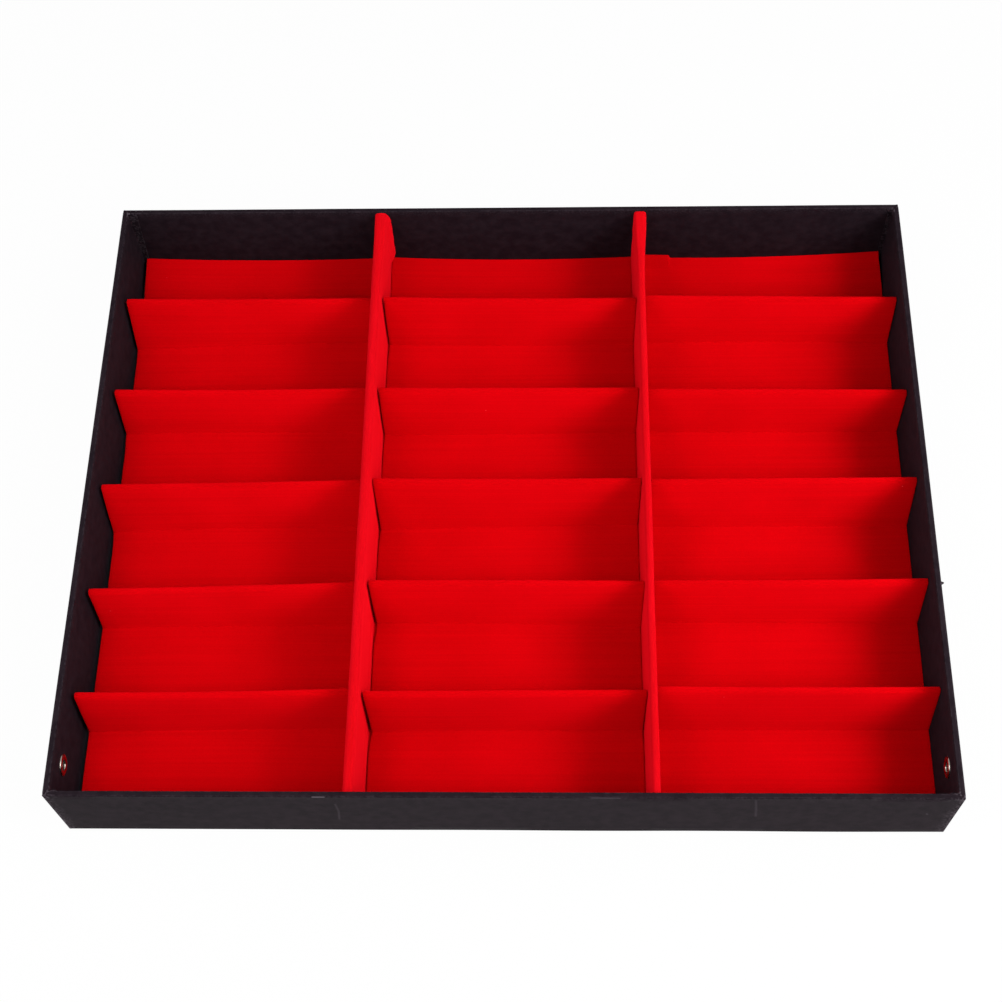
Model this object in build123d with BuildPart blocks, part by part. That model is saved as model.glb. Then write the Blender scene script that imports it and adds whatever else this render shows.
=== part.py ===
# Eyeglasses display case: a wrapped rigid tray with two padded dividers and three
# folded, flocked sheets that make 18 compartments.
#
# Frame: millimetres, +Z up, +X to the right along the long side, +Y to the back.
# The origin is the middle of the underside.
import os

from build123d import *

# The case, outside
case_length = 475.0
case_depth = 375.0
case_height = 58.0

# Sheet materials
board = 2.4
wrap = 0.3
liner = 0.3
stay_tape = 0.12

# Wrap and base
wrap_turn_under = 15.0
base_sheet_margin = 4.0
base_sheet_thickness = 0.3
stay_leg = 12.0

# Dividers: core, foam and flocked sleeve, with a fully rounded top
divider_spacing = 159.0
divider_thickness = 6.0
divider_top = 55.0
divider_rounding = 0.48
sleeve = 0.4
padding = 1.4

# Folded inserts
insert_length = 149.3
card = 1.0
flock = 0.4
insert_clearance = 0.3
ridges_per_insert = 5
ridge_pitch = 63.3
back_ridge_y = 131.0
fold_half_base = 7.0
fold_apex = 42.5
fold_tip_radius = 0.2
fold_foot_radius = 1.6
back_edge_rise = 5.0
back_slope_start = 152.0

# Eyelets in the side walls
eyelet_y = -164.0
eyelet_z = 38.0
eyelet_hole_radius = 2.7
eyelet_barrel_radius = 3.2
eyelet_flange_radius = 6.0
eyelet_crest_radius = 4.4
eyelet_dome = 0.9
eyelet_mouth = 0.35
washer_thickness = 0.4
lip_radius = 4.3
lip_thickness = 0.5

# Levels and half sizes that follow from the sheets
wrap_bottom = base_sheet_thickness
board_bottom = wrap_bottom + wrap
board_top = board_bottom + board
floor = board_top + liner
rim_board_top = case_height - wrap
half_length = case_length / 2
half_depth = case_depth / 2
board_half_length = half_length - wrap
board_half_depth = half_depth - wrap
wall = board + 2 * wrap
inner_half_length = half_length - wall
inner_half_depth = half_depth - wall
wall_board_height = rim_board_top - board_top

parts_folder = "parts"
os.makedirs(parts_folder, exist_ok=True)


def save(part, name):
    """Label a finished piece and write it as its own STEP file."""
    part.label = name
    export_step(part, f"{parts_folder}/{name}.step")


# Paper under the base, inside the edge of the case
with BuildPart() as base_sheet:
    with BuildSketch(Plane.XY):
        Rectangle(case_length - 2 * base_sheet_margin, case_depth - 2 * base_sheet_margin)
    extrude(amount=base_sheet_thickness)
save(base_sheet.part, "base_sheet")

# Base board, which the wall boards stand on
with BuildPart() as bottom_board:
    with BuildSketch(Plane.XY.offset(board_bottom)):
        Rectangle(2 * board_half_length, 2 * board_half_depth)
    extrude(amount=board)
save(bottom_board.part, "bottom_board")

# Front and back wall boards run the full length
long_wall_y = board_half_depth - board / 2
for name, centre_y in (("front_wall_board", -long_wall_y), ("back_wall_board", long_wall_y)):
    with BuildPart() as long_wall:
        with BuildSketch(Plane.XY.offset(board_top)):
            with Locations((0, centre_y)):
                Rectangle(2 * board_half_length, board)
        extrude(amount=wall_board_height)
    save(long_wall.part, name)

# Side wall boards stand between them, each with a hole for its eyelet
side_wall_x = board_half_length - board / 2
side_wall_length = 2 * (board_half_depth - board)
for name, centre_x in (("left_wall_board", -side_wall_x), ("right_wall_board", side_wall_x)):
    with BuildPart() as side_wall:
        with BuildSketch(Plane.XY.offset(board_top)):
            with Locations((centre_x, 0)):
                Rectangle(board, side_wall_length)
        extrude(amount=wall_board_height)
        with BuildSketch(Plane.YZ.offset(centre_x)):
            with Locations((eyelet_y, eyelet_z)):
                Circle(eyelet_barrel_radius)
        extrude(amount=board, both=True, mode=Mode.SUBTRACT)
    save(side_wall.part, name)

# Kraft tape round the outside of each corner of the walls
with BuildPart() as corner_stays:
    with BuildSketch(Plane.XY.offset(board_top)):
        Rectangle(2 * (board_half_length + stay_tape), 2 * (board_half_depth + stay_tape))
        Rectangle(2 * board_half_length, 2 * board_half_depth, mode=Mode.SUBTRACT)
        Rectangle(2 * (board_half_length - stay_leg), case_depth, mode=Mode.SUBTRACT)
        Rectangle(case_length, 2 * (board_half_depth - stay_leg), mode=Mode.SUBTRACT)
    extrude(amount=wall_board_height)
save(corner_stays.part, "corner_stays")

# Leatherette paper: outside walls, over the rim, inside walls and turned under the base
with BuildPart() as outer_wrap:
    with BuildSketch(Plane.XY.offset(wrap_bottom)):
        Rectangle(case_length, case_depth)
        Rectangle(
            case_length - 2 * wrap_turn_under,
            case_depth - 2 * wrap_turn_under,
            mode=Mode.SUBTRACT,
        )
    extrude(amount=wrap)
    with BuildSketch(Plane.XY.offset(board_bottom)):
        Rectangle(case_length, case_depth)
        Rectangle(2 * board_half_length, 2 * board_half_depth, mode=Mode.SUBTRACT)
    extrude(amount=case_height - board_bottom)
    with BuildSketch(Plane.XY.offset(board_top)):
        Rectangle(2 * (inner_half_length + wrap), 2 * (inner_half_depth + wrap))
        Rectangle(2 * inner_half_length, 2 * inner_half_depth, mode=Mode.SUBTRACT)
    extrude(amount=case_height - board_top)
    with BuildSketch(Plane.XY.offset(rim_board_top)):
        Rectangle(2 * board_half_length, 2 * board_half_depth)
        Rectangle(2 * inner_half_length, 2 * inner_half_depth, mode=Mode.SUBTRACT)
    extrude(amount=wrap)
    with BuildSketch(Plane.YZ):
        with Locations((eyelet_y, eyelet_z)):
            Circle(eyelet_barrel_radius)
    extrude(amount=case_length, both=True, mode=Mode.SUBTRACT)
    add(corner_stays.part, mode=Mode.SUBTRACT)
save(outer_wrap.part, "outer_wrap")

# Black paper on the floor, under the dividers and the inserts
with BuildPart() as floor_liner:
    with BuildSketch(Plane.XY.offset(board_top)):
        Rectangle(2 * inner_half_length, 2 * inner_half_depth)
    extrude(amount=liner)
save(floor_liner.part, "floor_liner")


def divider_bar(centre_x, inset):
    """Make a bar from front wall to back wall: a divider's section, inset all round."""
    width = divider_thickness - 2 * inset
    height = divider_top - inset - floor
    with BuildPart() as bar:
        with BuildSketch(Plane.XZ) as section:
            with Locations((centre_x, floor)):
                Rectangle(width, height, align=(Align.CENTER, Align.MIN))
            top_corners = section.vertices().group_by(Axis.Y)[-1]
            fillet(top_corners, radius=divider_rounding * width)
        extrude(amount=inner_half_depth, both=True)
    return bar.part


# Dividers, from the front wall to the back wall: core, foam over it, sleeve over the foam
for side, centre_x in (("left", -divider_spacing / 2), ("right", divider_spacing / 2)):
    core_bar = divider_bar(centre_x, sleeve + padding)
    padding_bar = divider_bar(centre_x, sleeve)
    sleeve_bar = divider_bar(centre_x, 0)
    save(core_bar, f"{side}_divider_core")
    with BuildPart() as divider_padding:
        add(padding_bar)
        add(core_bar, mode=Mode.SUBTRACT)
    save(divider_padding.part, f"{side}_divider_padding")
    with BuildPart() as divider_sleeve:
        add(sleeve_bar)
        add(padding_bar, mode=Mode.SUBTRACT)
        add(core_bar, mode=Mode.SUBTRACT)
    save(divider_sleeve.part, f"{side}_divider_sleeve")

# The underside of an insert, from the back wall to the front wall: a sloped back edge,
# then five narrow folds with level floors between them
insert_floor = floor + insert_clearance
sheet_end = inner_half_depth - insert_clearance
underside = [(sheet_end, insert_floor + back_edge_rise), (back_slope_start, insert_floor)]
corner_radii = [fold_foot_radius]
for ridge in range(ridges_per_insert):
    ridge_y = back_ridge_y - ridge * ridge_pitch
    underside.append((ridge_y + fold_half_base, insert_floor))
    underside.append((ridge_y, fold_apex))
    underside.append((ridge_y - fold_half_base, insert_floor))
    corner_radii += [fold_foot_radius, fold_tip_radius, fold_foot_radius]
underside.append((-sheet_end, insert_floor))

for side, centre_x in (
    ("left", -(inner_half_length + (divider_spacing + divider_thickness) / 2) / 2),
    ("centre", 0),
    ("right", (inner_half_length + (divider_spacing + divider_thickness) / 2) / 2),
):
    with BuildPart() as insert_card:
        with BuildSketch(Plane.YZ.offset(centre_x)):
            with BuildLine():
                card_underside = FilletPolyline(*underside, radius=corner_radii)
                offset(card_underside, amount=card, side=Side.RIGHT)
            make_face()
        extrude(amount=insert_length / 2, both=True)
    save(insert_card.part, f"{side}_insert_card")
    with BuildPart() as insert_flock:
        with BuildSketch(Plane.YZ.offset(centre_x)):
            with BuildLine():
                flock_underside = FilletPolyline(*underside, radius=corner_radii)
                offset(flock_underside, amount=card + flock, side=Side.RIGHT)
            make_face()
        extrude(amount=insert_length / 2, both=True)
        add(insert_card.part, mode=Mode.SUBTRACT)
    save(insert_flock.part, f"{side}_insert_flock")

# Eyelets: a domed flange inside the wall, a barrel through it and a lip rolled over a washer
washer_face = wall + washer_thickness
lip_face = washer_face + lip_thickness
for side, direction in (("left", -1), ("right", 1)):
    axis_start = (direction * inner_half_length, eyelet_y, eyelet_z)
    section = Plane(origin=axis_start, x_dir=(direction, 0, 0), z_dir=(0, direction, 0))
    eyelet_axis = Axis(axis_start, (direction, 0, 0))
    with BuildPart() as eyelet:
        with BuildSketch(section):
            with BuildLine():
                Polyline(
                    (washer_face, lip_radius),
                    (washer_face, eyelet_barrel_radius),
                    (0, eyelet_barrel_radius),
                    (0, eyelet_flange_radius),
                )
                ThreePointArc(
                    (0, eyelet_flange_radius),
                    (-eyelet_dome, eyelet_crest_radius),
                    (-eyelet_mouth, eyelet_hole_radius),
                )
                Line((-eyelet_mouth, eyelet_hole_radius), (washer_face, eyelet_hole_radius))
                ThreePointArc(
                    (washer_face, eyelet_hole_radius),
                    (lip_face, (eyelet_hole_radius + lip_radius) / 2),
                    (washer_face, lip_radius),
                )
            make_face()
        revolve(axis=eyelet_axis)
    save(eyelet.part, f"{side}_eyelet")
    with BuildPart() as eyelet_washer:
        with BuildSketch(Plane.YZ.offset(direction * half_length)):
            with Locations((eyelet_y, eyelet_z)):
                Circle(eyelet_flange_radius)
                Circle(eyelet_barrel_radius, mode=Mode.SUBTRACT)
        extrude(amount=direction * washer_thickness)
    save(eyelet_washer.part, f"{side}_eyelet_washer")
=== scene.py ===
"""Eyeglasses display case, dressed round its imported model.

The case is a rigid greyboard tray wrapped in black leatherette paper. Two padded red dividers make three
columns, and a folded, flocked insert lies loose in each. An eyelet is clinched into each side wall.

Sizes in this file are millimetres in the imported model's frame: +X to the right along the long side, +Y to
the back, +Z up, and the origin in the middle of the underside. Meshes are written in metres.
"""
import logging
import math
from dataclasses import dataclass, field, replace
from enum import Enum
from typing import Any

import bmesh
import bpy
import numpy as np
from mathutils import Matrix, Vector


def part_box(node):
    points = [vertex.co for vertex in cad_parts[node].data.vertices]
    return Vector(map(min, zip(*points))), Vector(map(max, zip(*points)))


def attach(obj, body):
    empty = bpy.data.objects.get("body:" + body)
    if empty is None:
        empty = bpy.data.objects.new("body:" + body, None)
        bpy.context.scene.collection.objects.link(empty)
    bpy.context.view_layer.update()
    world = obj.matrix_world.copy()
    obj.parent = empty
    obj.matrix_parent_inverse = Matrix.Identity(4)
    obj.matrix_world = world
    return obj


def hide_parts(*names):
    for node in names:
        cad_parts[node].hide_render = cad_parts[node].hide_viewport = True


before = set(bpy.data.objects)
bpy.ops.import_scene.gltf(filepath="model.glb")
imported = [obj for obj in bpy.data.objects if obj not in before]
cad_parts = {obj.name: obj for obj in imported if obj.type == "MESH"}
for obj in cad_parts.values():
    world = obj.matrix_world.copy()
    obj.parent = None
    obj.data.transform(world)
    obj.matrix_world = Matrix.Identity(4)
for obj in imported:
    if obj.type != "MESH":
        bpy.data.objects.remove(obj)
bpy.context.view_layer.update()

MM = 0.001
SHEET_MAP = "sheet"
EDGE_WEAR = "edge_wear"
TRAY = "tray"
SHARP_EDGE = math.radians(40)
SAME_POINT = 1e-3

# Sockets of a Mix node that mixes colours
MIX_FROM, MIX_TO, MIX_RESULT = 6, 7, 2

Colour = tuple[float, float, float, float]
Corner = tuple[float | np.ndarray, float | np.ndarray]

log = logging.getLogger("display_case")


class Side(Enum):
    """The left or right half of the case, as the sign of x there."""

    LEFT = -1
    RIGHT = 1

    @property
    def label(self) -> str:
        """The side's name in the names of pieces."""
        return self.name.lower()


class Column(Enum):
    """One of the three columns between the walls and the dividers, by its insert's body."""

    LEFT = "left_insert"
    CENTRE = "centre_insert"
    RIGHT = "right_insert"


def box_mm(node: str) -> tuple[np.ndarray, np.ndarray]:
    """Return a CAD node's lowest and highest corners in millimetres.

    Args:
        node: Name of the CAD node.

    Returns:
        The lowest and the highest corner.
    """
    low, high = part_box(node)
    return np.array(low) / MM, np.array(high) / MM


def smooth_step(value: np.ndarray, start: float, end: float) -> np.ndarray:
    """Rise from 0 at start to 1 at end along 3t^2 - 2t^3.

    Args:
        value: Places at which the step is wanted.
        start: Where the rise begins.
        end: Where it ends, which may be below start.

    Returns:
        The step's height at each place.
    """
    t = np.clip((value - start) / (end - start), 0, 1)
    return t * t * (3 - 2 * t)


def ripple(along: np.ndarray, across: np.ndarray, wave: float, seed: int) -> np.ndarray:
    """Smooth unevenness from -1 to 1: the mean of four sine waves in seeded directions and phases.

    Args:
        along: First coordinate, in mm.
        across: Second coordinate, in mm, of a shape that goes with the first.
        wave: Wavelength, about which the four waves' lengths spread.
        seed: Seed of the directions, lengths and phases.

    Returns:
        The unevenness at each place.
    """
    draw = np.random.default_rng(seed)
    waves = 4
    shortest, longest = 0.7, 1.6
    total = 0.0
    for _ in range(waves):
        turn, phase = draw.uniform(0, 2 * np.pi, 2)
        length = wave * draw.uniform(shortest, longest)
        forward = along * math.cos(turn) + across * math.sin(turn)
        total = total + np.sin(2 * np.pi * forward / length + phase)
    return total / waves


def through(ends_and_middle: tuple[float, float, float], share: np.ndarray) -> np.ndarray:
    """Evaluate the parabola through a value at the left end, the middle and the right end.

    Args:
        ends_and_middle: Values at shares 0, 0.5 and 1 of the length.
        share: Places along the length, from 0 to 1.

    Returns:
        The parabola's value at each place.
    """
    left, middle, right = ends_and_middle
    back = 1 - share
    return left * back * (1 - 2 * share) + middle * 4 * share * back + right * share * (2 * share - 1)


def points_at(*coordinates: float | np.ndarray) -> np.ndarray:
    """Join coordinates, of shapes that go together, into points along a last axis."""
    return np.stack(np.broadcast_arrays(*coordinates), axis=-1)


@dataclass(frozen=True)
class RoundedPath:
    """Paths of straight runs whose corners are tangent arcs, sampled evenly.

    Attributes:
        points: Sampled points, shape (..., n, 2).
        normals: Unit normals on the right-hand side of the direction of travel.
        lengths: Distance travelled from the start to each point, shape (..., n).
        run_weights: 4t(1 - t) along each straight run and 0 on the arcs, shape (n,).
        runs: Number of the run, or of the run before the arc, at each point, shape (n,).
    """

    points: np.ndarray
    normals: np.ndarray
    lengths: np.ndarray
    run_weights: np.ndarray
    runs: np.ndarray

    @classmethod
    def through_corners(
        cls, places: list[Corner], radii: list[float], arc_steps: int, run_steps: int
    ) -> "RoundedPath":
        """Round and sample paths through their corners.

        Where two runs meet at a turn of angle a, an arc of radius r touches each of them at r tan(a/2) from
        the corner. Its centre stands r from the first of those points, square to the run, on the side that
        the path turns to, and the normal turns by a along it.

        Args:
            places: Start, corners and end, as pairs of coordinates: one number, or one for each path.
            radii: Radius at each corner.
            arc_steps: Points on each arc, with both ends.
            run_steps: Points inside each straight run.

        Returns:
            The sampled paths.
        """
        corners = points_at(*(value for place in places for value in place))
        corners = corners.reshape(*corners.shape[:-1], len(places), 2)
        legs = np.diff(corners, axis=-2)
        directions = legs / np.linalg.norm(legs, axis=-1, keepdims=True)
        before, after = directions[..., :-1, :], directions[..., 1:, :]
        cross = before[..., 0] * after[..., 1] - before[..., 1] * after[..., 0]
        turns = np.arctan2(cross, np.sum(before * after, axis=-1))
        reach = np.array(radii) * np.tan(np.abs(turns) / 2)
        entries = corners[..., 1:-1, :] - before * reach[..., None]
        exits = corners[..., 1:-1, :] + after * reach[..., None]

        right = points_at(before[..., 1], -before[..., 0])
        share = np.linspace(0, 1, arc_steps)
        angle = turns[..., None] * share
        arc_normals = points_at(
            right[..., None, 0] * np.cos(angle) - right[..., None, 1] * np.sin(angle),
            right[..., None, 0] * np.sin(angle) + right[..., None, 1] * np.cos(angle),
        )
        signed_radii = (np.sign(turns) * np.array(radii))[..., None]
        centres = entries - right * signed_radii
        arcs = centres[..., None, :] + arc_normals * signed_radii[..., None]

        starts = np.concatenate([corners[..., :1, :], exits], axis=-2)
        ends = np.concatenate([entries, corners[..., -1:, :]], axis=-2)
        inner = np.linspace(0, 1, run_steps + 2)[1:-1]
        run_points = starts[..., None, :] + (ends - starts)[..., None, :] * inner[:, None]
        run_right = points_at(directions[..., 1], -directions[..., 0])
        run_normals = np.broadcast_to(run_right[..., None, :], run_points.shape)

        points = cls._in_order(corners[..., 0, :], run_points, arcs, corners[..., -1, :])
        normals = cls._in_order(run_right[..., 0, :], run_normals, arc_normals, run_right[..., -1, :])
        steps = np.linalg.norm(np.diff(points, axis=-2), axis=-1)
        lengths = np.concatenate([np.zeros_like(steps[..., :1]), np.cumsum(steps, axis=-1)], axis=-1)

        run_count = legs.shape[-2]
        weight = np.concatenate([4 * inner * (1 - inner), np.zeros(arc_steps)])
        run_weights = np.concatenate([[0], np.tile(weight, run_count)])[: points.shape[-2]]
        runs = np.concatenate([[0], np.repeat(np.arange(run_count), run_steps + arc_steps)])
        run_weights[-1] = 0
        return cls(points, normals, lengths, run_weights, runs[: points.shape[-2]])

    @staticmethod
    def _in_order(start: np.ndarray, runs: np.ndarray, arcs: np.ndarray, end: np.ndarray) -> np.ndarray:
        """Chain start, run, arc, run, arc ... run, end along the path.

        Args:
            start: First point of each path, shape (..., 2).
            runs: Inner points of the runs, shape (..., k, m, 2).
            arcs: Points of the arcs, shape (..., k - 1, n, 2).
            end: Last point of each path, shape (..., 2).

        Returns:
            The chained points.
        """
        pairs = np.concatenate([runs[..., :-1, :, :], arcs], axis=-2)
        chained = pairs.reshape(*pairs.shape[:-3], -1, 2)
        last = runs[..., -1, :, :]
        return np.concatenate([start[..., None, :], chained, last, end[..., None, :]], axis=-2)


@dataclass
class Surface:
    """A closed surface in millimetres: points, quads, and values that its finish reads.

    Attributes:
        points: Shape (n, 3).
        faces: Point numbers of each quad, shape (m, 4).
        flat: Place of each point on the flat sheet it was cut from, shape (n, 2), or None.
        wear: Share of edge wear at each point, shape (n,), or None.
    """

    points: np.ndarray
    faces: np.ndarray
    flat: np.ndarray | None = None
    wear: np.ndarray | None = None

    @staticmethod
    def quads(rows: int, columns: int, around: bool = False, along: bool = False) -> np.ndarray:
        """Number the quads of a grid: each joins (i, j), (i + 1, j), (i + 1, j + 1) and (i, j + 1).

        Args:
            rows: Points in the first direction.
            columns: Points in the second direction.
            around: Whether the last row joins the first.
            along: Whether the last column joins the first.

        Returns:
            Point numbers, shape (quads, 4).
        """
        rows_begun, columns_begun = rows - (not around), columns - (not along)
        i, j = np.meshgrid(np.arange(rows_begun), np.arange(columns_begun), indexing="ij")
        next_i, next_j = (i + 1) % rows, (j + 1) % columns
        row, next_row = i * columns, next_i * columns
        return points_at(row + j, next_row + j, next_row + next_j, row + next_j).reshape(-1, 4)

    @classmethod
    def loop(cls, grid: np.ndarray, wear: np.ndarray | None = None) -> "Surface":
        """Close a grid in both directions, as a ring is.

        Args:
            grid: Points, shape (rows, columns, 3).
            wear: Edge wear at each point, shape (rows, columns).

        Returns:
            The closed surface.
        """
        rows, columns = grid.shape[:2]
        faces = cls.quads(rows, columns, around=True, along=True)
        return cls(grid.reshape(-1, 3), faces, wear=None if wear is None else wear.ravel())

    @classmethod
    def between(
        cls, face: np.ndarray, back: np.ndarray, flat: np.ndarray | None = None, wear: float | None = None
    ) -> "Surface":
        """Close the space between two grids: both grids, and a strip that joins their borders.

        Args:
            face: Points of the face, shape (rows, columns, 3).
            back: Points of the back, of the same shape.
            flat: Place of each point on the flat sheet, shape (rows, columns, 2).
            wear: Edge wear, the same all over.

        Returns:
            The closed surface.
        """
        rows, columns = face.shape[:2]
        count = rows * columns
        number = np.arange(count).reshape(rows, columns)
        border = np.concatenate([number[0, :-1], number[:-1, -1], number[-1, :0:-1], number[:0:-1, 0]])
        after = np.roll(border, -1)
        quads = cls.quads(rows, columns)
        strip = points_at(border, border + count, after + count, after)
        faces = np.concatenate([quads, quads[:, ::-1] + count, strip])
        points = np.concatenate([face.reshape(-1, 3), back.reshape(-1, 3)])
        return cls(
            points,
            faces,
            flat=None if flat is None else np.tile(flat.reshape(-1, 2), (2, 1)),
            wear=None if wear is None else np.full(len(points), wear),
        )

    @classmethod
    def joined(cls, surfaces: list["Surface"]) -> "Surface":
        """Put several closed surfaces into one piece.

        Args:
            surfaces: The surfaces, all with wear or all without.

        Returns:
            One surface that holds them all.
        """
        firsts = np.cumsum([0] + [len(surface.points) for surface in surfaces[:-1]])
        faces = np.concatenate([surface.faces + first for surface, first in zip(surfaces, firsts)])
        has_wear = surfaces[0].wear is not None
        wear = np.concatenate([surface.wear for surface in surfaces]) if has_wear else None
        return cls(np.concatenate([surface.points for surface in surfaces]), faces, wear=wear)


def to_linear(colour: str) -> Colour:
    """Turn an sRGB hex colour into Blender's linear colour.

    Args:
        colour: Six hex digits after a hash.

    Returns:
        Red, green, blue and an alpha of 1.
    """
    srgb = np.array([int(colour[i : i + 2], 16) for i in (1, 3, 5)]) / 255
    linear = np.where(srgb <= 0.04045, srgb / 12.92, ((srgb + 0.055) / 1.055) ** 2.4)
    return (*linear.tolist(), 1.0)


def per_mm(size: float) -> float:
    """Return the texture scale at which one feature is size millimetres wide."""
    return 1 / (size * MM)


def add_node(
    tree: bpy.types.NodeTree, kind: str, inputs: dict[str | int, Any] | None = None, **settings: Any
) -> bpy.types.Node:
    """Add a shader node with its settings and links.

    Args:
        tree: Tree that the node goes into.
        kind: Blender's type of node.
        inputs: Value of each input socket, or the output socket that it is linked from.
        settings: The node's own properties.

    Returns:
        The new node.
    """
    node = tree.nodes.new(kind)
    for name, value in settings.items():
        setattr(node, name, value)
    for socket, value in (inputs or {}).items():
        if isinstance(value, bpy.types.NodeSocket):
            tree.links.new(value, node.inputs[socket])
        else:
            node.inputs[socket].default_value = value
    return node


class Texture(Enum):
    """A procedural texture, as its node and the output that holds its pattern."""

    NOISE = ("ShaderNodeTexNoise", "Fac")
    CELLS = ("ShaderNodeTexVoronoi", "Distance")


@dataclass(frozen=True)
class Finish:
    """The finish of one real material: two tones mixed by a texture, which gives a fine relief too.

    Attributes:
        slot: The record's material slot that the finish belongs to.
        ground: Colour where the texture is low.
        raised: Colour where it is high.
        roughness: Roughness of the surface.
        gloss: Specular level, where 0.5 is a plain dielectric.
        metallic: 1 for a metal.
        texture: The texture.
        grain: Width of one of its features.
        detail: Layers of finer features.
        warp: How far the features are warped.
        stretch: Scale in x, y and z of the coordinates that the texture reads, or None.
        relief: Height of the relief, or 0 for none.
        relief_strength: Share of the relief that shows.
    """

    slot: str
    ground: str
    raised: str
    roughness: float = 0.9
    gloss: float = 0.2
    metallic: float = 0.0
    texture: Texture = Texture.NOISE
    grain: float = 1.0
    detail: float = 4.0
    warp: float = 0.0
    stretch: tuple[float, float, float] | None = None
    relief: float = 0.0
    relief_strength: float = 0.3

    @property
    def name(self) -> str:
        """The material's name."""
        return f"{self.slot}_finish"

    def material(self) -> bpy.types.Material:
        """Make the finish's material, the first time that it is asked for.

        Returns:
            The material.
        """
        found = bpy.data.materials.get(self.name)
        if found is not None:
            return found
        made = bpy.data.materials.new(self.name)
        made.use_nodes = True
        shader = made.node_tree.nodes["Principled BSDF"]
        shader.inputs["Roughness"].default_value = self.roughness
        shader.inputs["Specular IOR Level"].default_value = self.gloss
        shader.inputs["Metallic"].default_value = self.metallic
        self.shade(made.node_tree, shader)
        return made

    def shade(self, tree: bpy.types.NodeTree, shader: bpy.types.Node) -> None:
        """Link the finish's pattern into its shader.

        Args:
            tree: The material's node tree.
            shader: The material's Principled BSDF.
        """
        place = add_node(tree, "ShaderNodeTexCoord").outputs["Object"]
        if self.stretch:
            drawn = add_node(tree, "ShaderNodeMapping", {"Vector": place, "Scale": self.stretch})
            place = drawn.outputs["Vector"]
        kind, output = self.texture.value
        inputs = {"Vector": place, "Scale": per_mm(self.grain), "Detail": self.detail}
        if self.warp:
            inputs["Distortion"] = self.warp
        pattern = add_node(tree, kind, inputs).outputs[output]
        inputs = {0: pattern, MIX_FROM: to_linear(self.ground), MIX_TO: to_linear(self.raised)}
        tone = add_node(tree, "ShaderNodeMix", inputs, data_type="RGBA").outputs[MIX_RESULT]
        tree.links.new(tone, shader.inputs["Base Color"])
        if self.relief:
            self.emboss(tree, shader, pattern)

    def emboss(
        self,
        tree: bpy.types.NodeTree,
        shader: bpy.types.Node,
        height: bpy.types.NodeSocket,
        under: bpy.types.NodeSocket | None = None,
    ) -> None:
        """Give the surface the finish's relief.

        Args:
            tree: The material's node tree.
            shader: The material's Principled BSDF.
            height: Height of the relief at each point, from 0 to 1.
            under: Normal of a relief that it lies on.
        """
        inputs = {"Height": height, "Strength": self.relief_strength, "Distance": self.relief * MM}
        if under:
            inputs["Normal"] = under
        bump = add_node(tree, "ShaderNodeBump", inputs)
        tree.links.new(bump.outputs["Normal"], shader.inputs["Normal"])


@dataclass(frozen=True)
class LiningPaper(Finish):
    """Uncoated black paper: dull, with faint cloudy fibres."""

    slot: str = "black_lining_paper"
    ground: str = "#151316"
    raised: str = "#262328"
    grain: float = 0.9
    detail: float = 5.0
    warp: float = 1.2
    relief: float = 0.03


@dataclass(frozen=True)
class Greyboard(Finish):
    """Recycled board: warm grey with dark and pale flecks of fibre."""

    slot: str = "greyboard"
    ground: str = "#7C766C"
    raised: str = "#A8A195"
    roughness: float = 0.92
    grain: float = 1.6
    detail: float = 6.0
    relief: float = 0.08


@dataclass(frozen=True)
class KraftTape(Finish):
    """Gummed brown paper tape: satin, with fibres drawn out along its height."""

    slot: str = "kraft_tape"
    ground: str = "#9A7146"
    raised: str = "#C09766"
    roughness: float = 0.6
    gloss: float = 0.4
    grain: float = 1.2
    stretch: tuple[float, float, float] | None = (1.0, 1.0, 0.15)


@dataclass(frozen=True)
class Foam(Finish):
    """Off-white polyurethane foam: open cells that show as fine pits."""

    slot: str = "foam"
    ground: str = "#CFC8B4"
    raised: str = "#ECE7D8"
    roughness: float = 0.95
    texture: Texture = Texture.CELLS
    grain: float = 0.7
    detail: float = 0.0
    relief: float = 0.2
    relief_strength: float = 0.6


@dataclass(frozen=True)
class DyedCard(Finish):
    """Red-dyed card that carries the flock: dull, with a faint mottle."""

    slot: str = "insert_card"
    ground: str = "#8E0A12"
    raised: str = "#A81019"
    roughness: float = 0.85
    gloss: float = 0.25
    grain: float = 3.0
    relief: float = 0.05
    relief_strength: float = 0.2


@dataclass(frozen=True)
class NickelPlate(Finish):
    """Nickel-plated brass, pressed and barrelled: bright, with hairline scratches."""

    slot: str = "nickel_plate"
    ground: str = "#8C837B"
    raised: str = "#A79E95"
    roughness: float = 0.24
    gloss: float = 0.5
    metallic: float = 1.0
    grain: float = 0.5
    relief: float = 0.02
    relief_strength: float = 0.15


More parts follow.
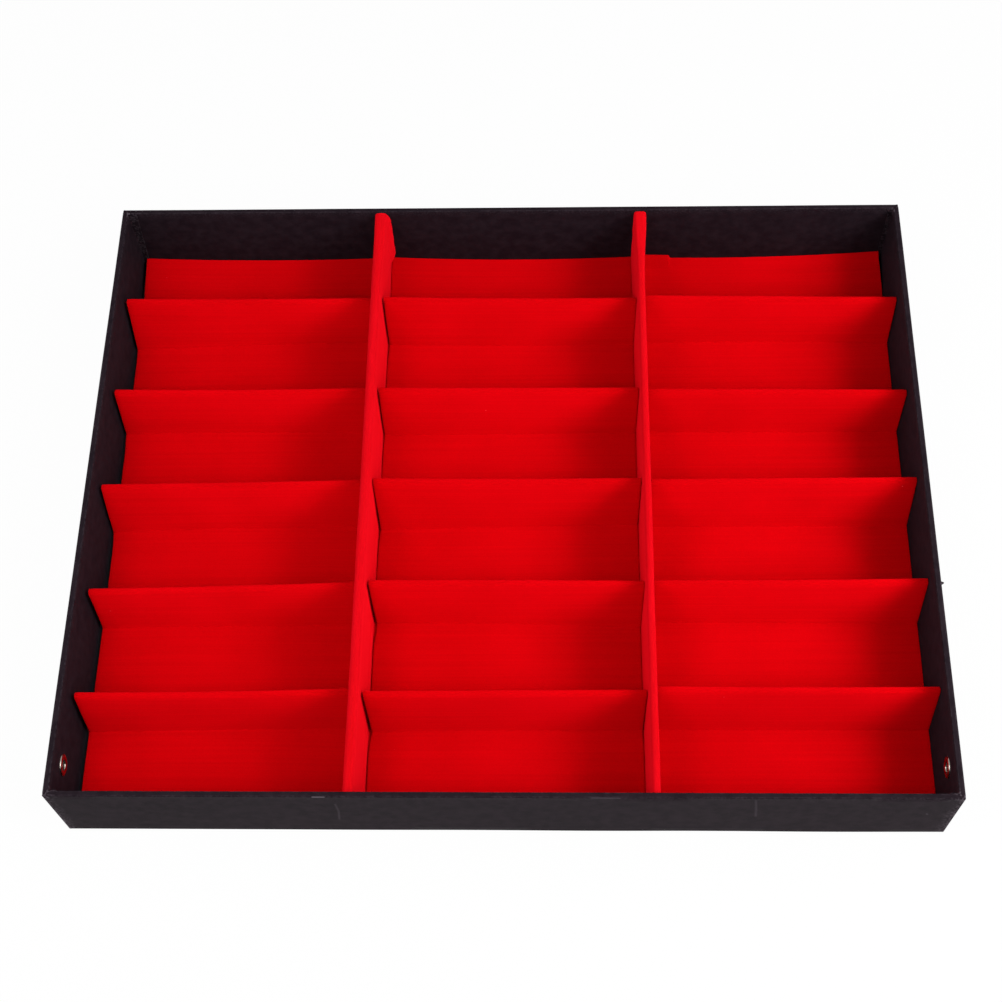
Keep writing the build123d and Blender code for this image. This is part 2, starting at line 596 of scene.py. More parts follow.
@dataclass(frozen=True)
class Scuff:
    """A light mark on the front of the case.

    Attributes:
        start: One end, in x and z.
        end: Its other end.
        width: Its width.
        strength: How light it is, from 0 to 1.
    """

    start: tuple[float, float]
    end: tuple[float, float]
    width: float
    strength: float

    def mask(
        self, tree: bpy.types.NodeTree, place: bpy.types.NodeSocket, front: float
    ) -> bpy.types.NodeSocket:
        """Mark the points near the line between its ends.

        Args:
            tree: The material's node tree.
            place: Points in object coordinates.
            front: Place of the front wall in y.

        Returns:
            The mark's strength, which falls to 0 at half its width from the line.
        """
        start = Vector((self.start[0], front, self.start[1])) * MM
        run = Vector((self.end[0], front, self.end[1])) * MM - start
        sums = "ShaderNodeVectorMath"
        offset = add_node(tree, sums, {0: place, 1: start}, operation="SUBTRACT").outputs[0]
        along = add_node(tree, sums, {0: offset, 1: run / run.length_squared}, operation="DOT_PRODUCT")
        share = add_node(tree, "ShaderNodeClamp", {"Value": along.outputs["Value"]}).outputs[0]
        nearest = add_node(tree, sums, {0: run, "Scale": share}, operation="SCALE").outputs[0]
        apart = add_node(tree, sums, {0: offset, 1: nearest}, operation="DISTANCE").outputs["Value"]
        near = {"Value": apart, "From Min": self.width / 2 * MM, "From Max": 0.0, "To Max": self.strength}
        return add_node(tree, "ShaderNodeMapRange", near).outputs["Result"]


@dataclass(frozen=True)
class LeatherettePaper(Finish):
    """PVC-coated paper with a fine embossed grain: matte black, a little lighter where it is rubbed.

    Attributes:
        rubbed: Colour where it is rubbed.
        mottle: Width of its cloudy patches.
        mottle_range: Noise at which a patch begins to show, and at which it shows in full.
        worn: Width of a rubbed patch along an edge.
        worn_range: Noise at which a rubbed patch begins to show, and at which it shows in full.
        scuffs: Its light marks.
    """

    slot: str = "black_leatherette_paper"
    ground: str = "#170F15"
    raised: str = "#22191F"
    rubbed: str = "#635961"
    roughness: float = 0.72
    gloss: float = 0.06
    grain: float = 0.8
    relief: float = 0.08
    relief_strength: float = 0.5
    mottle: float = 6.0
    mottle_range: tuple[float, float] = (0.35, 0.65)
    worn: float = 1.3
    worn_range: tuple[float, float] = (0.45, 0.65)
    scuffs: tuple[Scuff, ...] = (
        Scuff((-96.8, 57.4), (-90.8, 57.4), 1.4, 0.9),
        Scuff((47.0, 57.5), (61.6, 57.4), 1.3, 0.35),
        Scuff((131.2, 55.0), (132.8, 41.0), 1.8, 0.25),
        Scuff((132.8, 41.0), (133.8, 28.0), 1.8, 0.25),
        Scuff((-86.3, 46.0), (-85.8, 34.0), 1.8, 0.25),
        Scuff((-85.8, 34.0), (-87.0, 20.0), 1.8, 0.25),
        Scuff((222.3, 32.9), (222.7, 32.3), 1.4, 0.7),
    )

    def shade(self, tree: bpy.types.NodeTree, shader: bpy.types.Node) -> None:
        """Link embossed cells, soft mottling, wear along the edges, and the scuffs.

        Args:
            tree: The material's node tree.
            shader: The material's Principled BSDF.
        """
        noise, spread = "ShaderNodeTexNoise", "ShaderNodeMapRange"
        place = add_node(tree, "ShaderNodeTexCoord").outputs["Object"]
        inputs = {"Vector": place, "Scale": per_mm(self.mottle), "Detail": 5.0, "Roughness": 0.6}
        clouds = add_node(tree, noise, inputs).outputs["Fac"]
        low, high = self.mottle_range
        inputs = {"Value": clouds, "From Min": low, "From Max": high}
        cloudy = add_node(tree, spread, inputs).outputs["Result"]
        inputs = {0: cloudy, MIX_FROM: to_linear(self.ground), MIX_TO: to_linear(self.raised)}
        tone = add_node(tree, "ShaderNodeMix", inputs, data_type="RGBA").outputs[MIX_RESULT]

        inputs = {"Vector": place, "Scale": per_mm(self.worn), "Detail": 3.0}
        patches = add_node(tree, noise, inputs).outputs["Fac"]
        low, high = self.worn_range
        inputs = {"Value": patches, "From Min": low, "From Max": high}
        patchy = add_node(tree, spread, inputs).outputs["Result"]
        edge = add_node(tree, "ShaderNodeAttribute", attribute_name=EDGE_WEAR).outputs["Fac"]
        rub = add_node(tree, "ShaderNodeMath", {0: edge, 1: patchy}, operation="MULTIPLY").outputs[0]
        front = box_mm("outer_wrap")[0][1]
        for scuff in self.scuffs:
            mark = scuff.mask(tree, place, front)
            rub = add_node(tree, "ShaderNodeMath", {0: rub, 1: mark}, operation="MAXIMUM").outputs[0]
        inputs = {0: rub, MIX_FROM: tone, MIX_TO: to_linear(self.rubbed)}
        tone = add_node(tree, "ShaderNodeMix", inputs, data_type="RGBA").outputs[MIX_RESULT]
        tree.links.new(tone, shader.inputs["Base Color"])

        inputs = {"Vector": place, "Scale": per_mm(self.grain)}
        cells = add_node(tree, "ShaderNodeTexVoronoi", inputs, feature="SMOOTH_F1").outputs["Distance"]
        self.emboss(tree, shader, cells)


@dataclass(frozen=True)
class Flock(Finish):
    """Short nylon pile on an adhesive ground: deep matte red with a soft sheen, faint lines along the web's
    direction, patches where the pile leans another way, and stray bits of lint.

    Attributes:
        ground: Colour where the pile leans away.
        raised: Colour where it stands up.
        lint: Colour of a stray fibre.
        sheen: Weight of the pile's sheen.
        sheen_roughness: Roughness of the sheen.
        sheen_tint: Colour of the sheen.
        line_pitch: Distance from one line to the next.
        line_length: Length over which a line fades.
        line_depth: Depth of a line.
        line_strength: Share of that depth that shows.
        lean: Width of a patch of leaning pile.
        grain: Size of a tuft. Real fibres are 0.02 mm thick, too fine to show, so tufts stand for them.
        tone_range: Mean of the three patterns at which the tone begins and ends its change.
        lint_spacing: Distance from one stray fibre to the next.
        lint_range: Shares of that distance within which a fibre begins to show and shows in full.
    """

    slot: str = "red_flock"
    ground: str = "#CA0006"
    raised: str = "#DF000C"
    lint: str = "#F0645A"
    roughness: float = 0.95
    gloss: float = 0.02
    sheen: float = 0.1
    sheen_roughness: float = 0.4
    sheen_tint: str = "#FF1426"
    line_pitch: float = 1.5
    line_length: float = 130.0
    line_depth: float = 0.1
    line_strength: float = 0.25
    lean: float = 45.0
    grain: float = 0.9
    relief: float = 0.15
    relief_strength: float = 0.35
    tone_range: tuple[float, float] = (0.3, 0.7)
    lint_spacing: float = 24.0
    lint_range: tuple[float, float] = (0.018, 0.008)

    def shade(self, tree: bpy.types.NodeTree, shader: bpy.types.Node) -> None:
        """Link lines along the sheet, leaning patches, tufts and lint.

        Args:
            tree: The material's node tree.
            shader: The material's Principled BSDF.
        """
        noise, spread, sums = "ShaderNodeTexNoise", "ShaderNodeMapRange", "ShaderNodeMath"
        place = add_node(tree, "ShaderNodeTexCoord").outputs["Object"]
        sheet = add_node(tree, "ShaderNodeUVMap", uv_map=SHEET_MAP).outputs["UV"]
        inputs = {"Vector": sheet, "Scale": (per_mm(self.line_length), per_mm(self.line_pitch), 1.0)}
        drawn = add_node(tree, "ShaderNodeMapping", inputs).outputs["Vector"]
        lines = add_node(tree, noise, {"Vector": drawn, "Scale": 1.0, "Detail": 2.0}).outputs["Fac"]
        inputs = {"Vector": place, "Scale": per_mm(self.lean), "Detail": 2.0}
        lean = add_node(tree, noise, inputs).outputs["Fac"]
        inputs = {"Vector": place, "Scale": per_mm(self.grain), "Detail": 3.0}
        tufts = add_node(tree, noise, inputs).outputs["Fac"]

        third = 0.33
        pair = add_node(tree, sums, {0: lines, 1: tufts}, operation="ADD").outputs[0]
        part = add_node(tree, sums, {0: pair, 1: third, 2: 0.0}, operation="MULTIPLY_ADD").outputs[0]
        mean = add_node(tree, sums, {0: lean, 1: third, 2: part}, operation="MULTIPLY_ADD").outputs[0]
        low, high = self.tone_range
        inputs = {"Value": mean, "From Min": low, "From Max": high}
        standing = add_node(tree, spread, inputs).outputs["Result"]
        inputs = {0: standing, MIX_FROM: to_linear(self.ground), MIX_TO: to_linear(self.raised)}
        tone = add_node(tree, "ShaderNodeMix", inputs, data_type="RGBA").outputs[MIX_RESULT]
        inputs = {"Vector": place, "Scale": per_mm(self.lint_spacing)}
        spots = add_node(tree, "ShaderNodeTexVoronoi", inputs).outputs["Distance"]
        low, high = self.lint_range
        inputs = {"Value": spots, "From Min": low, "From Max": high}
        speck = add_node(tree, spread, inputs).outputs["Result"]
        inputs = {0: speck, MIX_FROM: tone, MIX_TO: to_linear(self.lint)}
        tone = add_node(tree, "ShaderNodeMix", inputs, data_type="RGBA").outputs[MIX_RESULT]
        tree.links.new(tone, shader.inputs["Base Color"])

        shader.inputs["Sheen Weight"].default_value = self.sheen
        shader.inputs["Sheen Roughness"].default_value = self.sheen_roughness
        shader.inputs["Sheen Tint"].default_value = to_linear(self.sheen_tint)
        shader.inputs["Diffuse Roughness"].default_value = 1.0
        inputs = {"Height": lines, "Strength": self.line_strength, "Distance": self.line_depth * MM}
        grooves = add_node(tree, "ShaderNodeBump", inputs).outputs["Normal"]
        self.emboss(tree, shader, tufts, grooves)


@dataclass(frozen=True)
class FlockedCloth(Flock):
    """Flocked cloth over the dividers: the same pile on a woven ground, a shade brighter, and pinker by a
    painted sheen.
    """

    slot: str = "red_flocked_cloth"
    # Both colours are the cloth's red with green and blue raised in, a painted sheen.
    ground: str = "#D4040E"
    raised: str = "#E2081A"
    gloss: float = 0.04
    line_pitch: float = 2.0
    line_length: float = 60.0


def wear(node: str, finish: Finish) -> None:
    """Dress a CAD node that keeps its shape.

    Args:
        node: Name of the CAD node.
        finish: Finish that it gets.
    """
    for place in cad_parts[node].material_slots:
        place.material = finish.material()
    log.info("%s: packed shape in %s", node, finish.name)


def make_piece(name: str, surface: Surface, finish: Finish, body: str, *replaces: str) -> bpy.types.Object:
    """Write a surface into a mesh, dress it, and fix it to its body.

    Args:
        name: Name of the piece.
        surface: Its closed surface, in mm.
        finish: Its finish.
        body: CAD body that it rides on.
        replaces: CAD nodes that it stands for.

    Returns:
        The new object.
    """
    mesh = bpy.data.meshes.new(name)
    mesh.from_pydata(surface.points * MM, [], surface.faces)
    if surface.flat is not None:
        corner_points = np.empty(len(mesh.loops), dtype=np.int32)
        mesh.loops.foreach_get("vertex_index", corner_points)
        layer = mesh.uv_layers.new(name=SHEET_MAP)
        layer.uv.foreach_set("vector", (surface.flat[corner_points] * MM).astype(np.float32).ravel())
    if surface.wear is not None:
        attribute = mesh.attributes.new(EDGE_WEAR, "FLOAT", "POINT")
        attribute.data.foreach_set("value", surface.wear.astype(np.float32))
    cleaned = bmesh.new()
    cleaned.from_mesh(mesh)
    bmesh.ops.remove_doubles(cleaned, verts=cleaned.verts, dist=SAME_POINT * MM)
    bmesh.ops.recalc_face_normals(cleaned, faces=cleaned.faces)
    cleaned.to_mesh(mesh)
    cleaned.free()
    mesh.polygons.foreach_set("use_smooth", np.ones(len(mesh.polygons), dtype=bool))
    mesh.set_sharp_from_angle(angle=SHARP_EDGE)
    mesh.materials.append(finish.material())
    piece = bpy.data.objects.new(name, mesh)
    bpy.context.scene.collection.objects.link(piece)
    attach(piece, body)
    if replaces:
        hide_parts(*replaces)
    log.info("%s: %d faces in %s, on %s", name, len(mesh.polygons), finish.name, body)
    return piece


@dataclass(frozen=True)
class InnerTab:
    """A tab of the wrap beside an inner corner.

    Attributes:
        x_sign: Side of its corner.
        y_sign: End of its corner.
        rim_width: Its width at the rim.
        foot_width: Its width at the floor.
        lift: How far its free edge stands off the wall.
    """

    x_sign: int
    y_sign: int
    rim_width: float
    foot_width: float
    lift: float = 0.3


@dataclass
class WrappedTray:
    """The rigid tray: boards, corner tape, lining papers, and the leatherette wrap over them all.

    Attributes:
        wrap: Thickness of the wrap.
        wall: Thickness of a wrapped wall.
        turn_under: Width of wrap turned under the base.
        rim_round: Radius that the wrap takes over the rim.
        foot_round: Radius that it takes under the outer walls.
        corner_round: Radius of the upright outer corners.
        inner_corner: Radius of the upright inner corners.
        worn_reach: Distance from an outer corner within which wear fades.
        rim_wear: Share of wear along the rim's edges, away from the corners.
        lap: Step where the end panels' paper laps over the long sides' at the outer corners.
        lap_inset: Distance of that step from the corner.
        sway: Height of the gentle unevenness of the outer walls and the rim.
        eyelet_hole: Radius of the eyelets' holes.
        mitre_width: Width of the fold along each of the rim's corner diagonals.
        mitre_height: Height of that fold.
        bury: Depth to which tabs and mitres reach into the wrap under them.
        scrap_y: Place of the torn scrap on the right rim.
        scrap_length: How far the scrap sticks out.
        scrap_inset: Distance of its root from the outer face.
        scrap_thickness: Its thickness.
        tabs: The tabs beside the inner corners.
    """

    wrap: float = 0.3
    wall: float = 3.0
    turn_under: float = 15.0
    rim_round: float = 0.65
    foot_round: float = 0.55
    corner_round: float = 0.45
    inner_corner: float = 0.35
    worn_reach: float = 1.6
    rim_wear: float = 0.1
    lap: float = 0.1
    lap_inset: float = 1.6
    sway: float = 0.12
    eyelet_hole: float = 3.2
    mitre_width: float = 1.1
    mitre_height: float = 0.16
    bury: float = 0.1
    scrap_y: float = -66.4
    scrap_length: float = 1.7
    scrap_inset: float = 0.4
    scrap_thickness: float = 0.22
    tabs: tuple[InnerTab, ...] = (
        InnerTab(x_sign=-1, y_sign=1, rim_width=5.6, foot_width=3.0, lift=0.6),
        InnerTab(x_sign=1, y_sign=1, rim_width=2.8, foot_width=2.2),
        InnerTab(x_sign=-1, y_sign=-1, rim_width=4.0, foot_width=3.2),
        InnerTab(x_sign=1, y_sign=-1, rim_width=4.4, foot_width=3.0),
    )
    half: np.ndarray = field(init=False)
    foot: float = field(init=False)
    rim: float = field(init=False)
    floor: float = field(init=False)

    def __post_init__(self) -> None:
        """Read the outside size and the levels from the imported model."""
        low, high = box_mm("outer_wrap")
        self.half = high[:2]
        self.foot = low[2]
        self.rim = high[2]
        self.floor = box_mm("floor_liner")[0][2]

    def build(self) -> None:
        """Dress the boards, tape and papers, and make the wrap."""
        for board in ("bottom", "front_wall", "back_wall", "left_wall", "right_wall"):
            wear(f"{board}_board", Greyboard())
        wear("corner_stays", KraftTape())
        for sheet in ("base_sheet", "floor_liner"):
            wear(sheet, LiningPaper())
        paper = LeatherettePaper()
        piece = make_piece("leatherette_wrap", self.wrap_surface(), paper, TRAY, "outer_wrap")
        self.punch_eyelet_holes(piece)
        make_piece("corner_folds", self.corner_folds(), paper, TRAY)

    def wrap_surface(self) -> Surface:
        """Carry the wrap's section round the tray.

        The section runs from under the base, round the foot, up the outer wall, over the rim and down the
        inner wall, and comes back one thickness further in. Each of its points is carried round a
        rounded rectangle, which is smaller by that point's inset from the outer face. The outer walls are
        pushed outwards by 1 plus a ripple, times the sway, and by the lap. The rim dips by half the sway.

        Returns:
            The closed surface, with wear on the rounded edges.
        """
        corners = [
            (self.turn_under, self.foot),
            (0, self.foot),
            (0, self.rim),
            (self.wall, self.rim),
            (self.wall, self.floor),
        ]
        radii = [self.foot_round, self.rim_round, self.rim_round]
        path = RoundedPath.through_corners(corners, radii, arc_steps=7, run_steps=9)
        section = np.concatenate([path.points, (path.points + self.wrap * path.normals)[::-1]])
        count = len(path.points)
        on_outer_wall = np.abs(path.points[:, 0]) < SAME_POINT
        near_rim = path.points[:, 1] > self.rim - 2 * self.rim_round
        rounded = (path.run_weights == 0) & near_rim
        rounded[0] = rounded[-1] = False

        inset, height = section[:, 0], section[:, 1]
        ring, outward, corner_share = self.ring(inset)
        sway = self.sway * (1 + ripple(ring[..., 0] + ring[..., 1], height[:, None], wave=90, seed=3))
        lap = self.lap * self.lapped(ring)
        outer = np.concatenate([on_outer_wall, np.zeros(count, dtype=bool)])
        push = (sway + lap) * outer[:, None]
        rim_points = np.concatenate([near_rim & (path.points[:, 0] > 0), np.zeros(count, dtype=bool)])
        dip = -sway / 2 * rim_points[:, None]
        pushed = ring + outward * push[..., None]
        grid = points_at(pushed[..., 0], pushed[..., 1], height[:, None] + dip)

        along_rim = self.rim_wear + (1 - self.rim_wear) * corner_share
        edge = np.concatenate([rounded, np.zeros(count, dtype=bool)])[:, None] * along_rim
        upright = corner_share * outer[:, None]
        return Surface.loop(grid, wear=np.clip(edge + upright, 0, 1))

    def ring(self, inset: np.ndarray) -> tuple[np.ndarray, np.ndarray, np.ndarray]:
        """Draw a rounded rectangle for each inset: an arc at each corner, then points along the next side.

        A side's points count as corner by exp(-d / r), at a distance d from the nearest corner, where r is
        the reach of wear.

        Args:
            inset: Inset of each rectangle from the outer face, shape (n,).

        Returns:
            Points (n, m, 2), outward directions (m, 2), and the share of each point that is corner (m,).
        """
        radius = np.maximum(self.corner_round - inset, self.inner_corner)
        quarter = np.pi / 2
        arc_steps, side_steps = 7, 86
        signs = np.array([(1, 1), (-1, 1), (-1, -1), (1, -1)])
        turn = quarter * np.arange(len(signs))[:, None] + np.linspace(0, quarter, arc_steps)
        spokes = points_at(np.cos(turn), np.sin(turn))
        middles = signs * (self.half - inset[:, None] - radius[:, None])[:, None, :]
        arcs = middles[:, :, None, :] + radius[:, None, None, None] * spokes

        lap_step = np.array([0.003, 0.0035])
        shares = np.unique(np.concatenate([np.linspace(0, 1, side_steps), lap_step, 1 - lap_step]))[1:-1]
        next_arc = np.roll(arcs[:, :, 0, :], -1, axis=1)
        last = arcs[:, :, -1, :]
        sides = last[:, :, None, :] + (next_arc - last)[:, :, None, :] * shares[:, None]
        side_out = np.broadcast_to(spokes[:, -1:, :], (len(signs), len(shares), 2))
        points = np.concatenate([arcs, sides], axis=2).reshape(len(inset), -1, 2)
        outward = np.concatenate([spokes, side_out], axis=1).reshape(-1, 2)
        from_corner = np.minimum(shares, 1 - shares) * 2 * self.half.mean()
        fading = np.broadcast_to(np.exp(-from_corner / self.worn_reach), (len(signs), len(shares)))
        corner = np.concatenate([np.ones(turn.shape), fading], axis=1).ravel()
        return points, outward, corner

    def lapped(self, ring: np.ndarray) -> np.ndarray:
        """Tell where the end panels lap.

        Args:
            ring: Points round the tray, shape (..., 2).

        Returns:
            1 on the short walls away from the corners, and 0 elsewhere.
        """
        on_end = np.abs(ring[..., 0]) > self.half[0] - SAME_POINT
        inside = np.abs(ring[..., 1]) < self.half[1] - self.lap_inset
        return (on_end & inside).astype(float)

    def punch_eyelet_holes(self, piece: bpy.types.Object) -> None:
        """Cut the eyelets' holes through the side walls with one long round punch.

        Args:
            piece: The wrap.
        """
        low, high = box_mm("left_eyelet_washer")
        sides = 48
        turn = np.linspace(0, 2 * np.pi, sides, endpoint=False)
        middle = (low + high)[1:] / 2
        circle = middle + self.eyelet_hole * points_at(np.cos(turn), np.sin(turn))
        reach = 1.2 * self.half[0]
        tube = np.concatenate([np.insert(circle, 0, end, axis=1) for end in (-reach, reach)])
        number = np.arange(sides)
        after = np.roll(number, -1)
        side_faces = points_at(number, after, after + sides, number + sides).tolist()
        mesh = bpy.data.meshes.new("eyelet_punch")
        mesh.from_pydata(tube * MM, [], [*side_faces, number[::-1].tolist(), (number + sides).tolist()])
        punch = bpy.data.objects.new("eyelet_punch", mesh)
        bpy.context.scene.collection.objects.link(punch)
        cut = piece.modifiers.new("eyelet_holes", "BOOLEAN")
        cut.operation = "DIFFERENCE"
        cut.solver = "EXACT"
        cut.object = punch
        whole = piece.data
        view = bpy.context.evaluated_depsgraph_get()
        piece.data = bpy.data.meshes.new_from_object(piece.evaluated_get(view))
        piece.modifiers.clear()
        bpy.data.objects.remove(punch)
        bpy.data.meshes.remove(mesh)
        bpy.data.meshes.remove(whole)

    def corner_folds(self) -> Surface:
        """Fold the wrap's corners: tabs down the inner corners, mitres over the rim, and one torn scrap.

        Returns:
            All of them as one surface.
        """
        mitres = [self.mitre(x_sign, y_sign) for x_sign in (-1, 1) for y_sign in (-1, 1)]
        return Surface.joined([*(self.tab(tab) for tab in self.tabs), *mitres, self.torn_scrap()])

    def tab(self, tab: InnerTab) -> Surface:
        """Lay a tab of wrap on a long wall, beside an inner corner, with its free edge slightly raised.

        The tab's width changes evenly from the rim to the floor, and it stands off the wall by its own
        thickness plus a lift that grows with the square of the distance from the corner.

        Args:
            tab: Which corner it is in, and its widths.

        Returns:
            The tab's surface.
        """
        inner = self.half - self.wall
        rows, columns = 14, 7
        height = np.linspace(self.floor, self.rim - self.rim_round, rows)[:, None]
        share = np.linspace(0, 1, columns)[None, :]
        rise = (height - self.floor) / (self.rim - self.floor)
        tear = 0.25
        torn = tear * ripple(height, height, wave=22, seed=17)
        width = tab.foot_width + (tab.rim_width - tab.foot_width) * rise + torn
        x = tab.x_sign * (inner[0] + self.bury - share * width)
        stand = self.wrap + tab.lift * share**2
        y_face, y_back = tab.y_sign * (inner[1] - stand), tab.y_sign * (inner[1] + self.bury)
        return Surface.between(points_at(x, y_face, height), points_at(x, y_back, height), wear=0.3)

    def mitre(self, x_sign: int, y_sign: int) -> Surface:
        """Fold a strip of wrap over the rim along a corner's diagonal.

        The strip follows the rim's own section: its height falls from the rim by a quarter circle within
        one rim radius of either edge.

        Args:
            x_sign: Side of the corner.
            y_sign: End of the corner.

        Returns:
            The strip's surface.
        """
        rows, columns = 15, 4
        stop = 0.04
        share = np.linspace(stop, 1 - stop, rows)[:, None]
        across = np.linspace(0, 1, columns)[None, :]
        inset_y = share * self.wall
        inset_x = inset_y + across * self.mitre_width
        inset = np.clip(np.minimum(inset_x, inset_y), 0, self.wall)
        from_edge = np.minimum(np.minimum(inset, self.wall - inset_y), self.rim_round)
        drop = self.rim_round - np.sqrt(self.rim_round**2 - (self.rim_round - from_edge) ** 2)
        x = x_sign * (self.half[0] - inset_x)
        y = y_sign * (self.half[1] - inset_y)
        top = self.rim - drop
        face = points_at(x, y, top + self.mitre_height * (1 - 0.5 * across))
        return Surface.between(face, points_at(x, y, top - self.bury), wear=0.6)

    def torn_scrap(self) -> Surface:
        """Curl the small scrap of torn wrap on the right rim: a leaf that narrows and turns up outwards.

        Returns:
            The scrap's surface.
        """
        rows, columns = 7, 5
        share = np.linspace(0, 1, rows)[:, None]
        across = np.linspace(-1, 1, columns)[None, :]
        half_width = 0.6 * self.scrap_length
        root_depth, tip_rise, edge_droop, narrowing = 0.25, 0.5, 0.2, 0.7
        x = self.half[0] - self.scrap_inset + self.scrap_length * share
        y = self.scrap_y + across * half_width * (1 - narrowing * share**2)
        z = self.rim - root_depth + tip_rise * share**2 - edge_droop * np.abs(across) * share
        face = points_at(x, y, z)
        return Surface.between(face + [0, 0, self.scrap_thickness], face, wear=0.5)


@dataclass(frozen=True)
class Flank:
    """One soft face of a divider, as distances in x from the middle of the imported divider.

    Attributes:
        top: Place of the face's top along most of the divider.
        foot: Place of its foot.
        back_top: Place of its top at the back wall.
        back_foot: Place of its foot at the back wall.
    """

    top: float
    foot: float
    back_top: float
    back_foot: float

    def top_at(self, flared: np.ndarray) -> np.ndarray:
        """Return the place of the face's top where a share of the flare has been reached."""
        return self.top + (self.back_top - self.top) * flared

    def foot_at(self, flared: np.ndarray) -> np.ndarray:
        """Return the place of the face's foot where a share of the flare has been reached."""
        return self.foot + (self.back_foot - self.foot) * flared


@dataclass
class PaddedDivider:
    """A divider from wall to wall: a board core in thin foam, with a sleeve of flocked cloth over it.

    Attributes:
        side: Which of the two dividers it is.
        left: Its left face.
        right: Its right face.
        round: Radius of the top's edges.
        flare_length: Length over which the faces flare towards the back wall.
        bulge: How far the cloth bulges out of the right face, above the insert, at the back wall.
        bulge_length: Length over which it bulges.
        bulge_foot: Height of the bulge's lower edge.
        bulge_hem: Height over which it runs out below that edge.
        bulge_rounds: Radii of its corners, from the shoulder down.
        shoulder: Depth of the top's sloping shoulder over the bulge.
        cloth: Thickness of the sleeve.
        tab: Width of the sleeve's tabs, which are glued to the floor on both sides.
        tab_thickness: Thickness of the pressed tabs.
        tab_round: Radius where a tab turns up.
        puff: Height of the padding's crown on the faces.
        crease: Height of the creases where the cloth is tucked in at the back.
        crease_reach: Length over which the creases fade.
        sway: Sideways unevenness along the divider.
        top_sway: Unevenness of its top's height.
        end_drop: How far the top dips at the front wall.
        end_round: Length over which it dips.
        end_rise: How far it rises at the back wall.
        rise_length: Length over which it rises.
    """

    side: Side
    left: Flank
    right: Flank
    round: float
    flare_length: float
    bulge: float = 0.0
    bulge_length: float = 11.0
    bulge_foot: float = 15.2
    bulge_hem: float = 1.6
    bulge_rounds: tuple[float, float, float] = (3.0, 0.7, 0.7)
    shoulder: float = 6.5
    cloth: float = 0.4
    tab: float = 2.5
    tab_thickness: float = 0.25
    tab_round: float = 0.4
    puff: float = 0.12
    crease: float = 0.36
    crease_reach: float = 11.0
    sway: float = 0.12
    top_sway: float = 0.25
    end_drop: float = 1.2
    end_round: float = 2.64
    end_rise: float = 1.7
    rise_length: float = 36.0
    low: np.ndarray = field(init=False)
    high: np.ndarray = field(init=False)

    def __post_init__(self) -> None:
        """Read the sleeve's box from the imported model."""
        self.low, self.high = box_mm(f"{self.side.label}_divider_sleeve")

    def build(self) -> None:
        """Make the core, the foam and the sleeve."""
        name = f"{self.side.label}_divider"
        make_piece(f"{name}_board", self.core_surface(), Greyboard(), TRAY, f"{name}_core")
        foam = make_piece(f"{name}_foam", self.foam_surface(), Foam(), TRAY, f"{name}_padding")
        cloth = make_piece(f"{name}_cloth", self.sleeve_surface(), FlockedCloth(), TRAY, f"{name}_sleeve")
        length = self.high[1] - self.low[1]
        girth = float(self.outside(length, self.tab)[1].lengths[:, -1].mean())

    def middle(self, y: np.ndarray) -> np.ndarray:
        """Return the middle of the divider, which sways gently, at places along it."""
        return (self.low[0] + self.high[0]) / 2 + self.sway * ripple(y, y, wave=110, seed=self.seed)

    def flared(self, y: np.ndarray) -> np.ndarray:
        """Return the share of the flare that is reached at places along the divider."""
        return smooth_step(y, self.high[1] - self.flare_length, self.high[1])

    @property
    def seed(self) -> int:
        """Seed of the divider's unevenness."""
        return 12 + self.side.value

    def face(self, y: np.ndarray, z: np.ndarray, side: Side) -> np.ndarray:
        """Work out where one face stands, on a straight line from its foot to its top.

        Args:
            y: Places along the divider.
            z: Heights at those places.
            side: Which of its two faces.

        Returns:
            The face's place in x.
        """
        flank = self.left if side is Side.LEFT else self.right
        foot, top = flank.foot_at(self.flared(y)), flank.top_at(self.flared(y))
        share = np.clip((z - self.low[2]) / (self.high[2] - self.low[2]), 0, 1)
        return self.middle(y) + foot + (top - foot) * share

    def outside(self, length: float, tab: float = 0.0) -> tuple[np.ndarray, RoundedPath]:
        """Work out the padded section all along the divider.

        Each section is a rounded bar: up the left face, over the top and down the right face, whose straight
        line is pushed out between the shoulder and the bulge's foot near the back wall. The faces crown
        outwards by a parabola, sway gently along the divider, and flare at the back. The top dips at the
        front along a quarter circle and rises at the back. Stations lie closer together near the ends, as
        the sine of an even angle does.

        Args:
            length: Length of the divider.
            tab: Width of the tabs at the feet, or 0 for none.

        Returns:
            Places along the divider, and the sections' paths in x and z.
        """
        stations = 121
        y = length / 2 * np.sin(np.linspace(-np.pi / 2, np.pi / 2, stations))
        middle, flared = self.middle(y), self.flared(y)
        near_end = np.clip(1 - (length / 2 + y) / self.end_round, 0, 1)
        dip = self.end_drop * (1 - np.sqrt(1 - near_end**2))
        rise = self.end_rise * smooth_step(y, self.high[1] - self.rise_length, self.high[1])
        uneven = self.top_sway * ripple(y, y, wave=75, seed=self.seed + 5)
        top = self.high[2] + uneven - dip + rise
        foot = self.low[2]
        right_top, right_foot = middle + self.right.top_at(flared), middle + self.right.foot_at(flared)
        bulge = self.bulge * smooth_step(y, self.high[1] - self.bulge_length, self.high[1])

